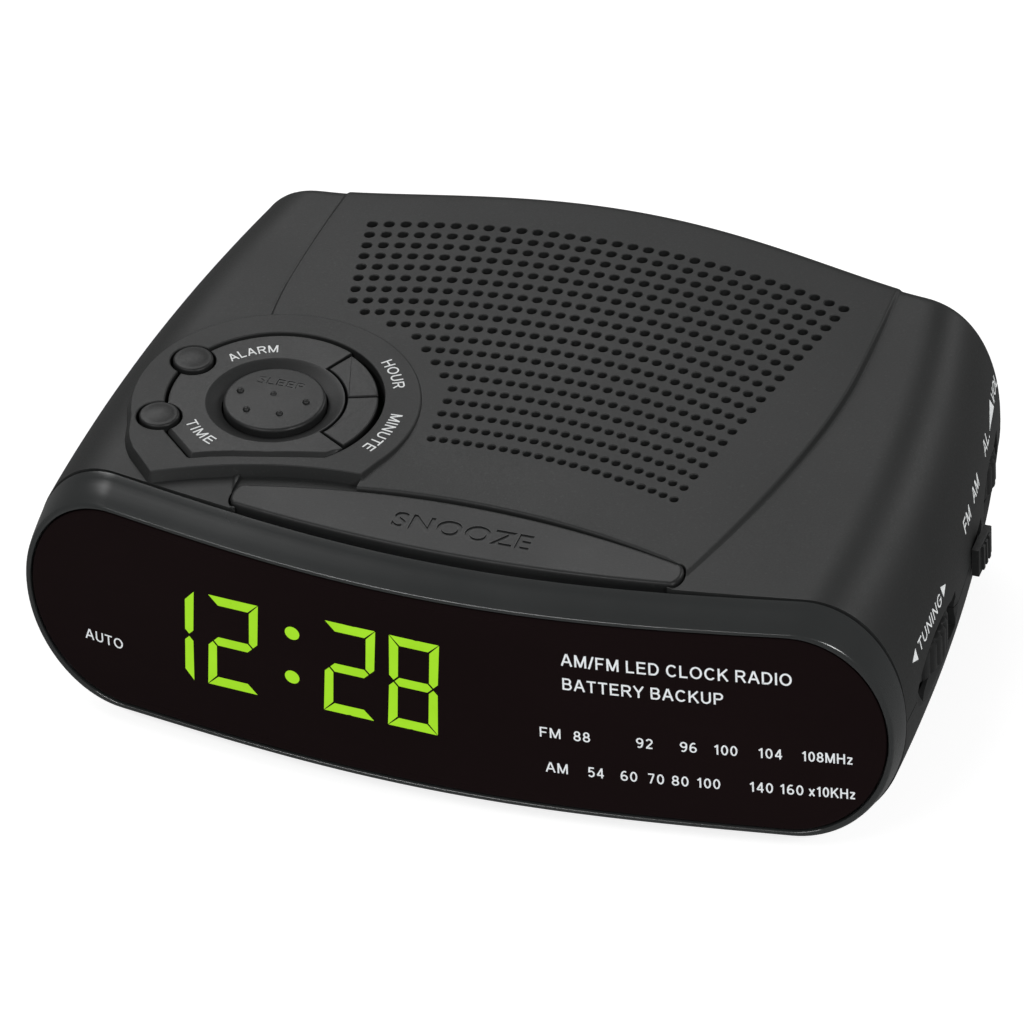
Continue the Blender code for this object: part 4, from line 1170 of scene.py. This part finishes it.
def stick(bmeshes, name, material):
    """Join thin pieces of ink or light into one and fix it to the case."""
    whole = bmesh.new()
    for bm in bmeshes:
        mesh = bpy.data.meshes.new("part")
        bm.to_mesh(mesh)
        bm.free()
        whole.from_mesh(mesh)
        bpy.data.meshes.remove(mesh)
    bmesh.ops.recalc_face_normals(whole, faces=whole.faces)
    for vert in whole.verts:
        vert.co *= MM
    mesh = bpy.data.meshes.new(name)
    whole.to_mesh(mesh)
    whole.free()
    made = add_object(name, mesh)
    made.data.materials.append(material)
    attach(made, "case")


LENS_FACE = 0.3


def on_lens(x, z):
    slope = (bulge(x + 0.1) - bulge(x - 0.1)) / 0.2
    return point(x, bulge(x) + LENS_FACE, z), Vector((slope, -1.0, 0.0)).normalized()


LENS_LABELS = [("AUTO", -76.9, 23.4, 8.9, 2.6), ("AM/FM LED CLOCK RADIO", 50.8, 47.3, 47.3, 3.15),
               ("BATTERY BACKUP", 43.8, 40.95, 33.2, 3.05)]
DIAL_SCALES = {
    27.5: [("FM", 24.25, 4.5), ("88", 30.9, 3.5), ("92", 43.95, 3.5), ("96", 53.0, 3.5), ("100", 60.6, 4.9),
           ("104", 69.7, 5.0), ("108MHz", 81.3, 10.4)],
    18.35: [("AM", 25.4, 4.7), ("54", 33.6, 3.4), ("60", 40.5, 3.5), ("70", 46.1, 3.4), ("80", 51.1, 3.5),
            ("100", 56.9, 4.9), ("140", 67.7, 4.9), ("160", 73.9, 4.9), ("x10KHz", 82.2, 9.4)],
}


def lens_print():
    labels = list(LENS_LABELS)
    for z, row in DIAL_SCALES.items():
        labels += [(text, x, z, width, 2.6) for text, x, width in row]
    ribbons = []
    for text, x, z, width, height in labels:
        ribbons += print_words(text, width, height, lambda a, b, x=x, z=z: on_lens(x + a, z + b))
    stick(ribbons, "lens_print", PRINT)


DIGIT_HEIGHT = 24.15
DIGIT_SLANT = 1.2        # the digits lean to the right by this much over their height
STROKE = (2.35, 2.65)    # across an upright and across a level segment, gaps included
SEGMENT_GAP = 0.22
# Left, base, width, rise of the base and lit segments of each digit.
DIGITS = [(-67.2, 19.3, 11.6, 0.6, "bc"), (-52.4, 20.3, 11.8, 0.8, "abged"),
          (-25.5, 22.1, 11.5, 0.15, "abged"), (-11.1, 22.2, 11.1, -0.3, "abcdefg")]
COLON = [(-31.85, 40.4), (-32.4, 28.65)]
COLON_RADIUS = 1.65


def segments(width):
    """Outlines of the seven segments of a digit; neighbours share their slanting ends."""
    w, h = width, DIGIT_HEIGHT
    t, u = STROKE
    m = h / 2
    return {
        "a": [(0, h), (w, h), (w - t, h - u), (t, h - u)],
        "b": [(w, h), (w, m + u / 2), (w - t / 2, m), (w - t, m + u / 2), (w - t, h - u)],
        "c": [(w, 0), (w - t, u), (w - t, m - u / 2), (w - t / 2, m), (w, m - u / 2)],
        "d": [(0, 0), (t, u), (w - t, u), (w, 0)],
        "e": [(0, 0), (0, m - u / 2), (t / 2, m), (t, m - u / 2), (t, u)],
        "f": [(0, h), (t, h - u), (t, m + u / 2), (t / 2, m), (0, m + u / 2)],
        "g": [(t / 2, m), (t, m + u / 2), (w - t, m + u / 2),
              (w - t / 2, m), (w - t, m - u / 2), (t, m - u / 2)],
    }


def lit_time():
    shapes = []
    for left, base, width, rise, names in DIGITS:
        for name in names:
            outline = grow(segments(width)[name], -SEGMENT_GAP)
            shapes.append([(left + x + DIGIT_SLANT * y / DIGIT_HEIGHT, base + y + rise * x / width)
                           for x, y in outline])
    for place_at in COLON:
        shapes.append(circle(place_at, COLON_RADIUS, 32))
    stick([printed(flat_shape(outline), on_lens) for outline in shapes], "lit_time", SEGMENT)


def around(centre, radius, middle, clockwise, height_at):
    """Surface for letters that follow a circle on the top, read from outside or inside it."""
    def surface(x, y):
        turn_by = x / radius
        angle = middle - turn_by if clockwise else middle + turn_by
        reach = radius + y if clockwise else radius - y
        px = centre[0] + reach * math.cos(angle)
        pd = centre[1] + reach * math.sin(angle)
        return point(px, pd, height_at), Vector((0, 0, 1))
    return surface


CLUSTER_LABELS = [("ALARM", 17.65, 125.0, 10.9, 2.4, DISC_TOP), ("TIME", 18.6, -127.5, 9.0, 2.4, DISC_TOP),
                  ("HOUR", 26.1, 35.5, 10.0, 2.5, PLATEAU_TOP),
                  ("MINUTE", 26.4, -9.8, 13.3, 2.5, PLATEAU_TOP)]


def cluster_print():
    ribbons = []
    for text, radius, angle, width, height, level in CLUSTER_LABELS:
        surface = around(CLUSTER, radius, math.radians(angle), text != "TIME", level)
        ribbons += print_words(text, width, height, surface)
    stick(ribbons, "cluster_print", PRINT_SIDE)


def on_side(depth, z):
    x = side_surface(depth, z)
    along = Vector((side_surface(depth + 0.2, z) - side_surface(depth - 0.2, z), 0.4, 0.0))
    up = Vector((side_surface(depth, z + 0.2) - side_surface(depth, z - 0.2), 0.0, 0.4))
    return point(x, depth, z), along.cross(up).normalized()


SIDE_LABELS = [("TUNING", 40.9, 42.2, 17.4, 2.7), ("FM", 75.2, 42.7, 6.4, 3.1), ("AM", 85.5, 43.0, 6.6, 3.1),
               ("AL.", 101.2, 43.3, 7.0, 3.2), ("VOL", 118.3, 43.9, 7.8, 3.1)]
SIDE_ARROWS = [[(27.4, 41.9), (30.6, 40.4), (30.4, 43.3)], [(53.6, 42.4), (50.4, 43.9), (51.0, 41.0)],
               [(105.8, 42.4), (114.3, 42.2), (112.0, 45.7)]]


def side_print():
    ribbons = []
    for text, depth, z, width, height in SIDE_LABELS:
        ribbons += print_words(text, width, height, lambda a, b, depth=depth, z=z: on_side(depth + a, z + b))
    ribbons += [printed(flat_shape(arrow), on_side) for arrow in SIDE_ARROWS]
    stick(ribbons, "side_print", PRINT_SIDE)


# ---- wheels and CAD nodes that stay -----------------------------------------------------------
def thumb_wheel(name, centre, radius, grooves, above):
    """Thumb wheel with a milled rim."""
    low, high = WHEEL_LOW, WHEEL_HIGH
    profile = [(BORE, low), (radius - 1.4, low), (radius - 0.5, low + 0.3), (radius, low + 1.1)]
    profile += [(radius, high - 1.1), (radius - 0.5, high - 0.3), (radius - 1.4, high)] + above
    bm = lathe(centre, profile, grooves * 6)
    axis = point(*centre, 0.0)
    for vert in bm.verts:
        reach = math.hypot(vert.co.x - axis.x, vert.co.y - axis.y)
        angle = math.atan2(vert.co.y - axis.y, vert.co.x - axis.x)
        if reach > radius - 0.7:
            groove = 0.6 * max(0.0, math.cos(angle * grooves)) ** 2
            vert.co.x -= groove * math.cos(angle)
            vert.co.y -= groove * math.sin(angle)
    made = solid(bm, name.replace("wheel", "thumbwheel"))
    place(made, name, "button_plastic", [name])


CORD_HEIGHT = 38.6       # middle of the groove for the dial cord, on a drum above the tuning wheel
DRUM_RADIUS = 15.2
BORE = 3.0


def wheels():
    flange = DRUM_RADIUS + 0.9
    groove = [(flange, WHEEL_HIGH)]
    groove += [(radius, CORD_HEIGHT + up) for radius, up in
               ((flange, -1.6), (DRUM_RADIUS, -0.7), (DRUM_RADIUS, 0.7), (flange, 1.6), (BORE, 1.6))]
    thumb_wheel("tuning_wheel", TUNING_AXIS, TUNING_RADIUS, 44, groove)
    thumb_wheel("volume_wheel", VOLUME_AXIS, VOLUME_RADIUS, 30, [(BORE, WHEEL_HIGH)])


def dress_nodes():
    """Every CAD node that stays gets its slot's material, and small bevels where its edges show."""
    slots = {part["node"]: part["material_slot"] for part in frame["record"]["subparts"]}
    for name, node in frame["nodes"].items():
        if node.hide_render:
            continue
        node.data.materials.clear()
        node.data.materials.append(MATERIALS[slots[name]])
        if name.endswith("_knob") or name in ("battery_door", "cord_gland") or name.startswith("foot"):
            bevel = node.modifiers.new("edges", "BEVEL")
            bevel.width = 0.00025
            bevel.segments = 2
            bevel.limit_method = "ANGLE"
            bevel.angle_limit = math.radians(35)


# ---- stage ------------------------------------------------------------------------------------
CAMERA_PLACE = (0.64002, -1.74162, 1.47595)
CAMERA_AIM = (-0.00385, -0.00775, 0.03497)
CAMERA_ROLL = -2.41
CAMERA_LENS = 392.8
FLOOR_GLOW = 1.9
WORLD_LIGHT = 0.16
LIGHT_AIM = (0.0, 0.0, 0.03)
# Name, place, size and power of each softbox.
LIGHTS = [("key", (-0.85, 1.0, 1.4), (1.5, 1.1), 13.5), ("front", (-0.42, -1.05, 1.15), (0.9, 0.1), 6.5),
          ("corner", (0.95, -0.62, 0.8), (0.4, 0.3), 6.0), ("rim", (0.95, 1.4, 0.8), (0.6, 0.5), 4.0)]


def stage_camera():
    data = bpy.data.cameras.new("camera")
    data.lens = CAMERA_LENS
    data.sensor_width = 36.0
    data.clip_start = 0.01
    data.clip_end = 100.0
    camera = add_object("camera", data)
    forward = (Vector(CAMERA_AIM) - Vector(CAMERA_PLACE)).normalized()
    level = forward.cross(Vector((0, 0, 1))).normalized()
    up = level.cross(forward)
    angle = math.radians(CAMERA_ROLL)
    right = level * math.cos(angle) + up * math.sin(angle)
    up = right.cross(forward)
    turned = Matrix((right, up, -forward)).transposed().to_4x4()
    camera.matrix_world = Matrix.Translation(CAMERA_PLACE) @ turned
    bpy.context.scene.camera = camera


def area_light(name, place_at, size, power):
    data = bpy.data.lights.new(name, "AREA")
    data.shape = "RECTANGLE"
    data.size, data.size_y = size
    data.energy = power
    lamp = add_object(name, data)
    lamp.location = place_at
    lamp.rotation_euler = (Vector(LIGHT_AIM) - Vector(place_at)).to_track_quat("-Z", "Y").to_euler()


def studio():
    bm = bmesh.new()
    bmesh.ops.create_grid(bm, x_segments=2, y_segments=2, size=6.0)
    mesh = bpy.data.meshes.new("studio_floor")
    bm.to_mesh(mesh)
    bm.free()
    floor = add_object("studio_floor", mesh)
    n = Nodes("studio_floor")
    tone = n.colours(n.noise(3.0), (0.42, 0.42, 0.42), (0.44, 0.44, 0.44))
    n.link(tone, n.shader.inputs["Base Color"])
    n.link(tone, n.shader.inputs["Emission Color"])
    n.set(Roughness=0.9, Specular_IOR_Level=0.1, Emission_Strength=FLOOR_GLOW)
    mesh.materials.append(n.material)
    floor.visible_glossy = False
    world = bpy.data.worlds.new("studio")
    world.use_nodes = True
    background = world.node_tree.nodes["Background"]
    background.inputs["Color"].default_value = (1.0, 1.0, 1.0, 1.0)
    background.inputs["Strength"].default_value = WORLD_LIGHT
    bpy.context.scene.world = world
    for light in LIGHTS:
        area_light(*light)
    bpy.context.scene.view_settings.view_transform = "Standard"


# ---- build ------------------------------------------------------------------------------------
stage_camera()
studio()
top_shell()
bottom_shell()
bezel()
lens()
disc()
sleep_key()
round_keys()
arc_keys()
snooze_bar()
wheels()
lens_print()
lit_time()
cluster_print()
side_print()
dress_nodes()

bpy.context.view_layer.update()
